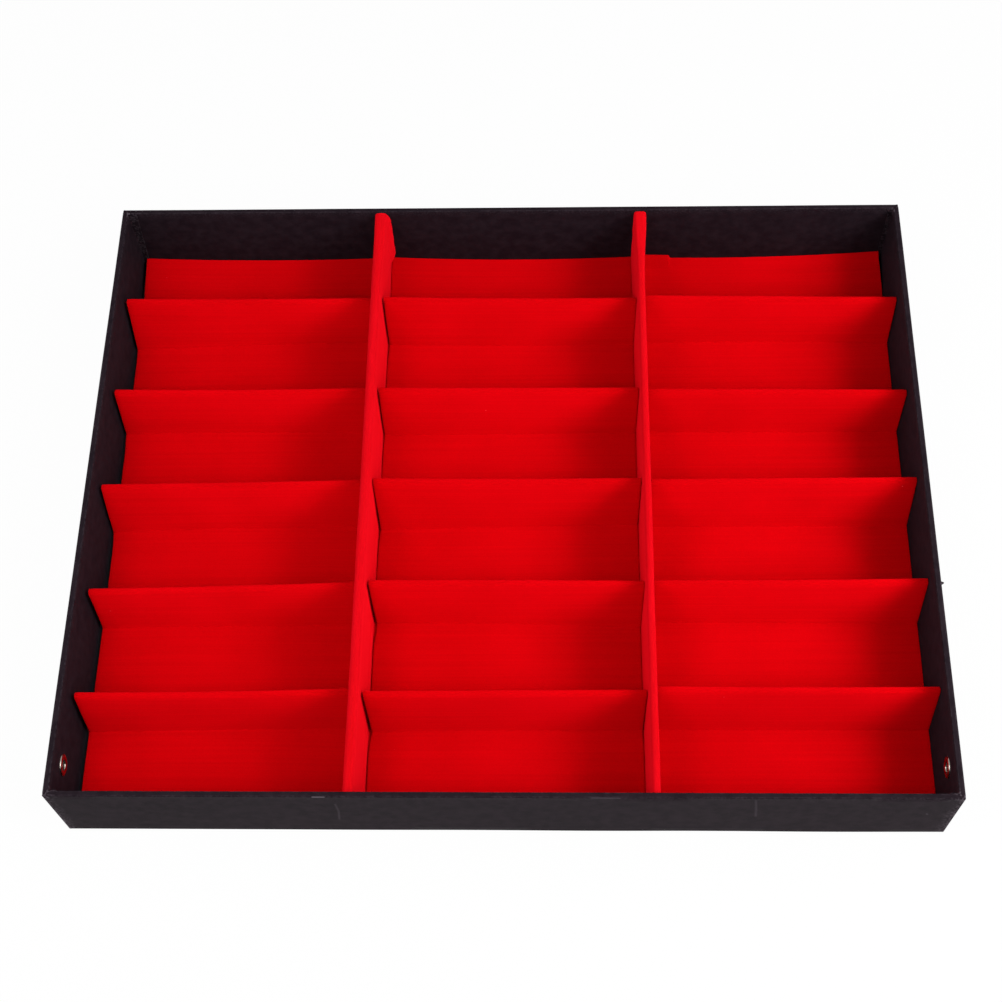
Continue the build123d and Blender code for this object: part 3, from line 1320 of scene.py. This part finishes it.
        hem = self.bulge_foot - self.bulge_hem
        on_bulge = [(top - self.shoulder, 0.9), (self.bulge_foot, 1.0), (hem, 0.0)]
        corners = [
            (middle + self.left.foot_at(flared), foot),
            (middle + self.left.top_at(flared), top),
            (right_top, top),
        ]
        for height, share in on_bulge:
            straight = right_foot + (right_top - right_foot) * (height - foot) / (top - foot)
            corners.append((straight + bulge * share, height))
        corners.append((right_foot, foot))
        radii = [self.round, self.round, *self.bulge_rounds]
        if tab:
            corners = [(x, np.maximum(z, self.low[2] + self.tab_thickness)) for x, z in corners]
            lifted = corners[0][1]
            corners = [(corners[0][0] - tab, lifted), *corners, (right_foot + tab, lifted)]
            radii = [self.tab_round, *radii, self.tab_round]
        path = RoundedPath.through_corners(corners, radii, arc_steps=9, run_steps=11)

        on_tab = ((path.runs == 0) | (path.runs == path.runs[-1])) & (tab > 0)
        tuck = self.crease * np.exp(-(length / 2 - y) / self.crease_reach)[:, None]
        creases = tuck * ripple(path.points[..., 1], 0.4 * y[:, None], wave=13, seed=self.seed + 9)
        crown = (self.puff + creases) * path.run_weights * ~on_tab
        return y, replace(path, points=path.points - crown[..., None] * path.normals)

    def sleeve_surface(self) -> Surface:
        """Make the sleeve one cloth thick, with tabs on the floor and a tucked patch across each end.

        Returns:
            The sleeve's surface, with each point's place on the flat cloth.
        """
        length = self.high[1] - self.low[1]
        y, path = self.outside(length, self.tab)
        level = np.abs(path.normals[..., 1]) > 0.99
        on_floor = path.points[..., 1] < self.low[2] + 1
        pressed = np.where(level & on_floor, self.tab_thickness, self.cloth)
        face = self.along(y, path.points)
        back = self.along(y, path.points + pressed[..., None] * path.normals)
        sleeve = Surface.between(face, back, flat=points_at(y[:, None], path.lengths))
        inner = self.outside(length)[1]
        lining = self.along(y, inner.points + self.cloth * inner.normals)
        patches = [self.end_patch(lining[row], inwards) for row, inwards in ((0, 1), (-1, -1))]
        whole = Surface.joined([sleeve, *patches])
        whole.flat = np.concatenate([sleeve.flat, *(patch.points[:, [0, 2]] for patch in patches)])
        return whole

    def end_patch(self, outline: np.ndarray, inwards: int) -> Surface:
        """Close an end with a patch: rows of two points, one on each face, from the foot to the top.

        Args:
            outline: The sleeve's inner outline at that end, shape (n, 3).
            inwards: Direction along y into the divider.

        Returns:
            The patch's surface.
        """
        rows_up = 24
        height = np.linspace(0, 1, rows_up)
        peak = int(np.argmax(outline[:, 2]))
        left, right = outline[: peak + 1], outline[:peak - 1:-1]
        rows = []
        for side in (left, right):
            share = self.share_of_height(side)
            rows.append(points_at(*(np.interp(height, share, place) for place in side.T)))
        patch = np.stack(rows, axis=1)
        return Surface.between(patch, patch + [0, inwards * self.cloth, 0])

    @staticmethod
    def share_of_height(side: np.ndarray) -> np.ndarray:
        """Return each point's share of the way up one side of an outline."""
        return np.maximum.accumulate((side[:, 2] - side[0, 2]) / (side[-1, 2] - side[0, 2]))

    def core_outline(self) -> tuple[np.ndarray, np.ndarray]:
        """Work out the core board's rounded outline, moved to the middle between the faces.

        Returns:
            The outline from the left foot over the top to the right foot, and the board's ends in y.
        """
        low, high = box_mm(f"{self.side.label}_divider_core")
        half = (high[0] - low[0]) / 2
        middle = (self.low[0] + self.high[0] + self.left.top + self.right.top) / 2
        left, right = middle - half, middle + half
        corners = [(left, low[2]), (left, high[2]), (right, high[2]), (right, low[2])]
        rounding = 0.96
        path = RoundedPath.through_corners(corners, [rounding * half] * 2, arc_steps=9, run_steps=15)
        return path.points, np.array([low[1], high[1]])

    def core_surface(self) -> Surface:
        """Make the core board: its left half and its right half, joined all round.

        Returns:
            The board's surface.
        """
        outline, ends = self.core_outline()
        count = len(outline) // 2
        left, right = outline[:count], outline[: -count - 1 : -1]
        return Surface.between(*(self.along(ends, np.stack([half, half])) for half in (left, right)))

    def foam_surface(self) -> Surface:
        """Make the foam: the sleeve's inside and the core, matched at equal shares of their girths.

        Returns:
            The foam's surface.
        """
        length = self.high[1] - self.low[1] - 2 * self.cloth
        y, path = self.outside(length)
        outline = self.core_outline()[0]
        steps = np.linalg.norm(np.diff(outline, axis=0), axis=1)
        share = np.concatenate([[0], np.cumsum(steps)]) / steps.sum()
        wanted = path.lengths / path.lengths[:, -1:]
        core = points_at(*(np.interp(wanted, share, place) for place in outline.T))
        lining = path.points + self.cloth * path.normals
        return Surface.between(self.along(y, lining), self.along(y, core))

    @staticmethod
    def along(y: np.ndarray, sections: np.ndarray) -> np.ndarray:
        """Place sections in x and z along y."""
        return points_at(sections[..., 0], y[:, None], sections[..., 1])


@dataclass(frozen=True)
class Fold:
    """How one hand-made fold departs from its even place, at its left end, middle and right end.

    Attributes:
        tip: How far back the tip lies from its even place.
        reach: How far in front of the tip the fold meets the floor.
        slack: How much further from its neighbours it stops, at its left and right end.
        tip_slack: How much further still its tip stops.
    """

    tip: tuple[float, float, float]
    reach: tuple[float, float, float]
    slack: tuple[float, float] = (0.0, 0.0)
    tip_slack: tuple[float, float] = (0.0, 0.0)


@dataclass
class FoldedInsert:
    """A flocked card folded into five ridges, with six level floors between them and the walls.

    Attributes:
        column: Column that it lies in.
        folds: Its ridges, from the back to the front.
        back_edge: Height of its back edge on the back wall at the left end, middle and right end.
        seed: Seed of its unevenness, or 0 for none.
        neighbours: What it lies between, left and right: a divider, or None for a wall of the tray.
        left_gap: Gap to the left neighbour at the back and at the front.
        right_gap: Gap to the right neighbour at the back and at the front.
        back_slack: How much further from its neighbours its back edge stops, left and right.
        tab_height: How much the back edge stands higher beside the divider, where it wasn't trimmed.
        tab_width: Width of that tab.
        tab_slope: Width over which its edge falls.
        tab_from: Places in y between which it begins to rise and is raised in full.
        card: Thickness of the card.
        pile: Thickness of the flock.
        pitch: Distance from one ridge to the next.
        back_ridge: Place in y of the ridge at the back.
        half_base: Even distance from a ridge's tip to its feet.
        apex: Height of a ridge's underside.
        tip_round: Radius of its tip.
        foot_round: Radius of its feet.
        slope_start: Place in y from which the back edge slopes up.
        back_length: Length over which the back edge's slack sets in.
        swell: Height of the straight runs' swell.
        edge_round: Radius of the flock's cut edges at the ends.
        edge_drop: Share of the flock's thickness by which those edges round off.
        even_width: Width against which shares of the insert are taken.
    """

    column: Column
    folds: tuple[Fold, ...]
    back_edge: tuple[float, float, float]
    seed: int
    neighbours: tuple[PaddedDivider | None, PaddedDivider | None]
    left_gap: tuple[float, float] = (0.6, 0.6)
    right_gap: tuple[float, float] = (0.6, 0.6)
    back_slack: tuple[float, float] = (0.0, 0.0)
    tab_height: float = 0.0
    tab_width: float = 15.5
    tab_slope: float = 1.8
    tab_from: tuple[float, float] = (178.0, 184.2)
    card: float = 1.0
    pile: float = 0.4
    pitch: float = 63.45
    back_ridge: float = 130.1
    half_base: float = 7.0
    apex: float = 44.3
    tip_round: float = 0.6
    foot_round: float = 1.6
    slope_start: float = 152.0
    back_length: float = 30.0
    swell: float = 0.45
    edge_round: float = 0.5
    edge_drop: float = 0.6
    even_width: float = 150.0
    low: np.ndarray = field(init=False)
    high: np.ndarray = field(init=False)

    def __post_init__(self) -> None:
        """Read the card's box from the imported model."""
        self.low, self.high = box_mm(f"{self.column.value}_card")

    def build(self) -> None:
        """Make the card and its pile."""
        label = self.column.value
        lower, upper = self.layer(0, self.card), self.layer(self.card, self.card + self.pile)
        card = make_piece(f"{label}_folded_card", lower, DyedCard(), label, f"{label}_card")
        pile = make_piece(f"{label}_red_pile", upper, Flock(), label, f"{label}_flock")
        width, length = self.flat_size()

    def flat_size(self) -> tuple[float, float]:
        """Work out the size of the insert's flat pile.

        Returns:
            The insert's mean width, and the length of its pile when even and unfolded.
        """
        even_folds = (Fold((0, 0, 0), (self.half_base,) * 3),) * len(self.folds)
        even_back = 8.6
        even = FoldedInsert(self.column, even_folds, (even_back,) * 3, seed=0, neighbours=self.neighbours)
        path = even.underside(np.array([0.5]))
        over_card = (path.points + path.normals * self.card)[0]
        length = np.linalg.norm(np.diff(over_card, axis=0), axis=1).sum()
        level = np.linspace(self.low[1], self.high[1], 50)
        left, right = self.ends(level, np.full_like(level, self.low[2]))
        return float(np.mean(right - left)), float(length)

    def ends(self, y: np.ndarray, z: np.ndarray) -> tuple[np.ndarray, np.ndarray]:
        """Work out where the insert ends in x, along its neighbours' faces.

        The gap changes evenly from the front to the back. Each fold adds its slack, which fades along a
        bell curve from its front foot, and its tip's slack, which fades from its tip and grows with the
        square of the height.

        Args:
            y: Places from the front to the back.
            z: Heights at those places.

        Returns:
            The left and the right end at each place.
        """
        backness = (y - self.low[1]) / (self.high[1] - self.low[1])
        inner_wall = box_mm("outer_wrap")[1][0] - WrappedTray.wall
        before, after = self.neighbours
        left_face = np.full_like(y, -inner_wall) if before is None else before.face(y, z, Side.RIGHT)
        right_face = np.full_like(y, inner_wall) if after is None else after.face(y, z, Side.LEFT)
        at_back = smooth_step(y, self.high[1] - self.back_length, self.high[1])
        spread = 8.0
        gaps = []
        for end, (back, front) in enumerate((self.left_gap, self.right_gap)):
            gap = front + (back - front) * backness + self.back_slack[end] * at_back
            for number, fold in enumerate(self.folds):
                tip = self.back_ridge - number * self.pitch
                by_foot = np.exp(-(((y - tip + self.half_base + 2) / spread) ** 2))
                by_tip = np.exp(-(((y - tip) / spread) ** 2)) * (z / self.apex) ** 2
                gap = gap + fold.slack[end] * by_foot + fold.tip_slack[end] * by_tip
            gaps.append(gap)
        return left_face + gaps[0], right_face - gaps[1]

    def underside(self, share: np.ndarray) -> RoundedPath:
        """Work out the insert's underside in y and z at places along its ridges.

        From the back edge it slopes down to the floor, then rises to and falls from each ridge. A ridge that
        reaches further to the front than an even one starts less far behind its tip, by a share of the
        difference. The corners are rounded, and the straight runs swell by a parabola: floors only upwards,
        off the tray's floor.

        Args:
            share: Places along the ridges, from 0 at the left end to 1 at the right.

        Returns:
            One path for each place.
        """
        floor = self.low[2]
        back_z = through(self.back_edge, share) - self.card - self.pile
        corners = [(self.high[1], back_z), (self.slope_start, floor)]
        radii = [self.foot_round]
        recoil = 0.3
        for number, fold in enumerate(self.folds):
            tip = self.back_ridge - number * self.pitch + through(fold.tip, share)
            reach = through(fold.reach, share)
            behind = self.half_base + recoil * (self.half_base - reach)
            corners += [(tip + behind, floor), (tip, self.apex), (tip - reach, floor)]
            radii += [self.foot_round, self.tip_round, self.foot_round]
        corners.append((self.low[1], floor))
        path = RoundedPath.through_corners(corners, radii, arc_steps=7, run_steps=9)
        return self.uneven(path, share)

    def uneven(self, path: RoundedPath, share: np.ndarray) -> RoundedPath:
        """Let the straight runs swell, and raise the untrimmed tab of the back edge.

        A run swells by 4t(1 - t) along it times a rippling height: from 0 to the whole swell on level runs,
        and to both sides by a share of it on slopes. The tab rises by smooth steps across and in y.

        Args:
            path: The even paths.
            share: Places along the ridges.

        Returns:
            The uneven paths.
        """
        if self.seed == 0:
            return path
        level = np.abs(path.normals[..., 1]) > 0.9
        on_slopes = 0.6
        across = share[:, None] * self.even_width
        noise = ripple(path.points[..., 0], across, wave=95, seed=self.seed)
        rise = np.where(level, 0.5 + 0.5 * noise, on_slopes * noise) * self.swell * path.run_weights
        points = path.points + rise[..., None] * path.normals
        near_divider = 1 - smooth_step(across, self.tab_width, self.tab_width + self.tab_slope)
        near_wall = smooth_step(points[..., 0], *self.tab_from)
        points[..., 1] += self.tab_height * near_divider * near_wall
        return replace(path, points=points)

    def layer(self, under: float, over: float) -> Surface:
        """Make one layer of the insert, with the flock's cut edges rounded off as a squashed quarter circle.

        Args:
            under: Height of its lower face over the insert's underside, along the normals.
            over: Height of its upper face.

        Returns:
            The layer's surface.
        """
        stations, by_edge = 73, np.array([0.0006, 0.0015])
        share = np.concatenate([np.linspace(0, 1, stations), by_edge, 1 - by_edge])
        if self.tab_height:
            slope = np.linspace(self.tab_width, self.tab_width + self.tab_slope, 6)
            share = np.concatenate([share, slope / self.even_width])
        share = np.unique(share)
        path = self.underside(share)
        left, right = self.ends(path.points[..., 0], path.points[..., 1])
        x = left + share[:, None] * (right - left)

        edge = np.minimum(share, 1 - share)[:, None] * (right - left)
        softness = np.sqrt(1 - np.clip(1 - edge / self.edge_round, 0, 1) ** 2)
        rounding = self.edge_drop * self.pile if under else 0.0
        rounded = over - rounding * (1 - softness)
        upper = path.points + rounded[..., None] * path.normals
        lower = path.points + under * path.normals
        face, back = (points_at(x, side[..., 0], side[..., 1]) for side in (upper, lower))
        return Surface.between(face, back, flat=points_at(x, path.lengths))


LEFT_DIVIDER = PaddedDivider(
    Side.LEFT,
    left=Flank(top=-2.45, foot=-2.7, back_top=-2.3, back_foot=-2.6),
    right=Flank(top=2.6, foot=3.8, back_top=4.4, back_foot=4.1),
    round=2.4,
    flare_length=50.0,
    bulge=2.8,
)
RIGHT_DIVIDER = PaddedDivider(
    Side.RIGHT,
    left=Flank(top=-0.9, foot=-1.9, back_top=-2.35, back_foot=-2.45),
    right=Flank(top=3.25, foot=3.6, back_top=5.0, back_foot=5.0),
    round=1.95,
    flare_length=45.0,
)
INSERTS = (
    FoldedInsert(
        Column.LEFT,
        (
            Fold(tip=(0.5, 0.0, 0.5), reach=(10.5, 6.5, 5.5), slack=(-0.4, 0.0)),
            Fold(tip=(-0.5, -1.0, 0.0), reach=(6.5, 5.0, 7.0), slack=(-0.8, 0.0)),
            Fold(tip=(-1.0, 0.0, 1.5), reach=(9.5, 8.0, 9.0), slack=(-0.9, 0.0)),
            Fold(tip=(-3.5, -2.0, 0.5), reach=(5.0, 5.5, 8.0)),
            Fold(tip=(-2.0, -1.5, 0.5), reach=(6.5, 5.5, 6.5)),
        ),
        back_edge=(12.0, 8.9, 10.6),
        seed=31,
        neighbours=(None, LEFT_DIVIDER),
        left_gap=(2.2, 2.3),
    ),
    FoldedInsert(
        Column.CENTRE,
        (
            Fold(tip=(1.0, -0.5, -0.5), reach=(8.0, 7.5, 7.5), slack=(0.9, 0.0), tip_slack=(1.0, 0.3)),
            Fold(tip=(0.0, -0.5, -0.5), reach=(8.5, 7.5, 7.0), slack=(0.5, 0.1), tip_slack=(1.0, 0.3)),
            Fold(tip=(2.5, 2.0, 2.5), reach=(12.0, 9.5, 8.5), slack=(0.9, 0.3), tip_slack=(0.0, 0.3)),
            Fold(tip=(1.5, 1.5, 1.0), reach=(7.0, 7.5, 9.5), slack=(1.5, 0.0), tip_slack=(0.5, 0.0)),
            Fold(tip=(-1.0, -0.5, 0.0), reach=(7.0, 6.5, 7.0), slack=(1.4, 0.4)),
        ),
        back_edge=(11.5, 8.0, 10.4),
        seed=32,
        neighbours=(LEFT_DIVIDER, RIGHT_DIVIDER),
        left_gap=(0.35, 0.75),
        right_gap=(0.25, 0.4),
    ),
    FoldedInsert(
        Column.RIGHT,
        (
            Fold(tip=(1.0, 0.0, -1.0), reach=(8.0, 6.0, 6.5)),
            Fold(tip=(-1.5, -2.0, -2.5), reach=(5.0, 5.0, 4.5)),
            Fold(tip=(1.5, 2.0, 2.5), reach=(9.0, 9.5, 9.5)),
            Fold(tip=(1.5, 1.5, 2.5), reach=(6.5, 7.0, 8.5)),
            Fold(tip=(2.0, 1.5, 2.0), reach=(8.5, 8.0, 8.5)),
        ),
        back_edge=(9.6, 9.3, 14.9),
        seed=33,
        neighbours=(RIGHT_DIVIDER, None),
        right_gap=(0.6, 0.12),
        back_slack=(0.0, 1.4),
        tab_height=2.9,
    ),
)


@dataclass
class Eyelet:
    """An eyelet in a side wall: a domed flange, a barrel, and a lip rolled over a washer outside.

    Attributes:
        side: Wall that it is in.
        bore: Radius of its hole.
        barrel: Outer radius of its barrel.
        flange: Radius of the flange.
        dome: Height of the flange's dome.
        lip: Radius of the rolled lip.
        lip_height: Height of the lip over the washer.
        splits: Number of shallow splits that the press leaves round the lip.
        split_depth: Their depth.
        washer_rounds: Radii of the washer's inner and outer edge.
    """

    side: Side
    bore: float = 2.7
    barrel: float = 3.2
    flange: float = 6.0
    dome: float = 0.9
    lip: float = 4.3
    lip_height: float = 0.5
    splits: int = 8
    split_depth: float = 0.3
    washer_rounds: tuple[float, float] = (0.05, 0.18)

    def build(self) -> None:
        """Make the eyelet and its washer."""
        label = self.side.label
        make_piece(f"{label}_domed_eyelet", self.eyelet_surface(), NickelPlate(), TRAY, f"{label}_eyelet")
        make_piece(f"{label}_washer", self.washer_surface(), NickelPlate(), TRAY, f"{label}_eyelet_washer")

    def washer_box(self) -> tuple[np.ndarray, np.ndarray]:
        """Return the washer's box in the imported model."""
        return box_mm(f"{self.side.label}_eyelet_washer")

    def turned(self, axial: np.ndarray, radius: np.ndarray) -> np.ndarray:
        """Turn a profile about the eyelet's axis.

        Args:
            axial: Places along the axis, as distances from the middle of the case, shape (n,).
            radius: Radius at each place, shape (n,) or (n, turns).

        Returns:
            Points, shape (n, turns, 3).
        """
        low, high = self.washer_box()
        turn = self.turns()
        radius = radius.reshape(len(axial), -1)
        y = (low[1] + high[1]) / 2 + radius * np.cos(turn)
        z = (low[2] + high[2]) / 2 + radius * np.sin(turn)
        return points_at(self.side.value * axial[:, None], y, z)

    @staticmethod
    def turns() -> np.ndarray:
        """Return 72 even angles of a full turn."""
        return np.linspace(0, 2 * np.pi, 72, endpoint=False)

    def eyelet_surface(self) -> Surface:
        """Turn the eyelet's section.

        The flange is half an ellipse from its edge over the dome into the bore, and the lip is half an
        ellipse from the bore over to its own edge. The splits notch the lip's outer half.

        Returns:
            The closed surface.
        """
        low, high = self.washer_box()
        wall_face = high[0] if self.side is Side.LEFT else low[0]
        inner_wall = abs(wall_face) - WrappedTray.wall
        washer_face = max(abs(low[0]), abs(high[0]))
        arc_steps = 19
        arc = np.linspace(0, np.pi, arc_steps)
        dome_r = (self.flange + self.bore) / 2 + (self.flange - self.bore) / 2 * np.cos(arc)
        dome_a = inner_wall - self.dome * np.sin(arc)
        lip_r = (self.lip + self.bore) / 2 - (self.lip - self.bore) / 2 * np.cos(arc)
        lip_a = washer_face + self.lip_height * np.sin(arc)
        axial = np.concatenate([dome_a, lip_a, [washer_face, inner_wall]])
        radius = np.concatenate([dome_r, lip_r, [self.barrel] * 2])[:, None] + 0 * self.turns()
        narrowness = 24
        notch = np.abs(np.cos(self.splits / 2 * self.turns())) ** narrowness
        outer_half = arc_steps - arc_steps // 2
        outwards = np.linspace(0, 1, outer_half)[:, None]
        radius[2 * arc_steps - outer_half : 2 * arc_steps] -= self.split_depth * notch * outwards
        return Surface.loop(self.turned(axial, radius))

    def washer_surface(self) -> Surface:
        """Turn the washer's section, a flat ring with its outer edges rounded.

        Returns:
            The closed surface.
        """
        low, high = self.washer_box()
        inside, outside = sorted((abs(low[0]), abs(high[0])))
        corners = [
            (inside, self.barrel),
            (inside, self.flange),
            (outside, self.flange),
            (outside, self.barrel),
        ]
        path = RoundedPath.through_corners(corners, list(self.washer_rounds), arc_steps=6, run_steps=1)
        return Surface.loop(self.turned(path.points[:, 0], path.points[:, 1]))


@dataclass(frozen=True)
class Softbox:
    """A square soft light.

    Attributes:
        name: Its name.
        place: Where it stands, in mm.
        width: Its side, in mm.
        power: Its power, in watts.
    """

    name: str
    place: tuple[float, float, float]
    width: float
    power: float

    def build(self) -> None:
        """Hang the light, turned towards the middle of the case."""
        lamp = bpy.data.lights.new(self.name, "AREA")
        lamp.shape = "SQUARE"
        lamp.size = self.width * MM
        lamp.energy = self.power
        holder = bpy.data.objects.new(self.name, lamp)
        holder.location = Vector(self.place) * MM
        holder.rotation_euler = (-Vector(self.place)).to_track_quat("-Z", "Y").to_euler()
        holder.visible_camera = False
        bpy.context.scene.collection.objects.link(holder)


@dataclass(frozen=True)
class Studio:
    """The photograph's camera, a plain pale floor, and soft light that comes mostly from the front right.

    Attributes:
        camera_place: Camera's place.
        camera_turn: Its turn about x, y and z.
        lens: Focal length for a 36 mm wide frame.
        rise: Share of the frame by which the view is shifted up.
        floor_width: Side of the floor.
        floor_drop: Distance of the floor below the case, so that their faces don't meet.
        floor_grey: Colour of the floor's shadowed share.
        floor_white: Share of the floor that shows plain white rather than its shadows.
        sky: Strength of the light from all round.
        lights: The soft lights.
    """

    camera_place: tuple[float, float, float] = (28.987, -460.787, 910.755)
    camera_turn: tuple[float, float, float] = (0.47583, 0.02917, 0.01292)
    lens: float = 61.834
    rise: float = 0.00909
    floor_width: float = 6000.0
    floor_drop: float = 0.2
    floor_grey: str = "#E4E4E4"
    floor_white: float = 0.97
    sky: float = 0.15
    lights: tuple[Softbox, ...] = (
        Softbox("right_key", (700, -400, 650), 400, 3.85),
        Softbox("right_back_key", (700, 0, 650), 400, 2.8),
        Softbox("right_high", (1000, -450, 1300), 700, 5.1),
        Softbox("right_front", (950, -1100, 550), 600, 2.3),
        Softbox("left_key", (-350, -350, 900), 400, 2.95),
        Softbox("left_fill", (-700, -400, 650), 400, 1.05),
        Softbox("left_low", (-850, -200, 350), 400, 1.7),
        Softbox("high_front", (745, -625, 2085), 1300, 3.95),
        Softbox("low_front", (0, -1600, 750), 1000, 1.95),
    )

    def build(self) -> None:
        """Set up the camera, the floor, the sky and the lights."""
        scene = bpy.context.scene
        scene.view_settings.view_transform = "Standard"
        self.add_camera(scene)
        self.add_floor(scene)
        self.add_sky(scene)
        for light in self.lights:
            light.build()

    def add_camera(self, scene: bpy.types.Scene) -> None:
        """Place the camera where the photograph's camera stood.

        Args:
            scene: Scene that it goes into.
        """
        camera = bpy.data.cameras.new("camera")
        camera.sensor_fit = "HORIZONTAL"
        camera.sensor_width = 36
        camera.lens = self.lens
        camera.shift_y = self.rise
        camera.clip_end = 100
        holder = bpy.data.objects.new("camera", camera)
        holder.location = Vector(self.camera_place) * MM
        holder.rotation_euler = self.camera_turn
        scene.collection.objects.link(holder)
        scene.camera = holder

    @staticmethod
    def seen_directly(tree: bpy.types.NodeTree) -> bpy.types.NodeSocket:
        """Tell rays from the camera, by reflection or through glass.

        Args:
            tree: Tree that asks for it.

        Returns:
            1 for such rays, and 0 for others.
        """
        rays = add_node(tree, "ShaderNodeLightPath").outputs
        seen = rays["Is Camera Ray"]
        for other in ("Is Glossy Ray", "Is Transmission Ray"):
            inputs = {0: seen, 1: rays[other]}
            seen = add_node(tree, "ShaderNodeMath", inputs, operation="MAXIMUM").outputs[0]
        return seen

    def add_floor(self, scene: bpy.types.Scene) -> None:
        """Lay a pale floor that shows white and keeps the case's shadow.

        Args:
            scene: Scene that it goes into.
        """
        reach = self.floor_width / 2
        x_signs, y_signs = np.array([-1, 1, 1, -1]), np.array([-1, -1, 1, 1])
        corners = points_at(reach * x_signs, reach * y_signs, -self.floor_drop)
        mesh = bpy.data.meshes.new("studio_floor")
        mesh.from_pydata(corners * MM, [], [(0, 1, 2, 3)])
        paper = bpy.data.materials.new("studio_paper")
        paper.use_nodes = True
        tree = paper.node_tree
        tree.nodes.clear()
        matte = add_node(tree, "ShaderNodeBsdfDiffuse", {"Color": to_linear(self.floor_grey)})
        white = add_node(tree, "ShaderNodeEmission", {"Strength": 1.0})
        inputs = {0: self.seen_directly(tree), 1: self.floor_white}
        share = add_node(tree, "ShaderNodeMath", inputs, operation="MULTIPLY").outputs[0]
        mixed = add_node(tree, "ShaderNodeMixShader", {0: share, 1: matte.outputs[0], 2: white.outputs[0]})
        add_node(tree, "ShaderNodeOutputMaterial", {"Surface": mixed.outputs[0]})
        mesh.materials.append(paper)
        floor = bpy.data.objects.new("studio_floor", mesh)
        scene.collection.objects.link(floor)

    def add_sky(self, scene: bpy.types.Scene) -> None:
        """Surround the case with soft light, which shows plain white.

        Args:
            scene: Scene that it goes into.
        """
        world = bpy.data.worlds.new("studio_sky")
        world.use_nodes = True
        tree = world.node_tree
        tree.nodes.clear()
        plain = (1, 1, 1, 1)
        soft = add_node(tree, "ShaderNodeBackground", {"Color": plain, "Strength": self.sky}).outputs[0]
        white = add_node(tree, "ShaderNodeBackground", {"Color": plain, "Strength": 1.0}).outputs[0]
        mixed = add_node(tree, "ShaderNodeMixShader", {0: self.seen_directly(tree), 1: soft, 2: white})
        add_node(tree, "ShaderNodeOutputWorld", {"Surface": mixed.outputs[0]})
        scene.world = world


def main() -> None:
    """Build the case piece by piece, then the studio round it."""
    logging.basicConfig(level=logging.INFO, format="%(message)s")
    WrappedTray().build()
    for divider in (LEFT_DIVIDER, RIGHT_DIVIDER):
        divider.build()
    for side in Side:
        Eyelet(side).build()
    for insert in INSERTS:
        insert.build()
    Studio().build()


if __name__ == "__main__":
    main()
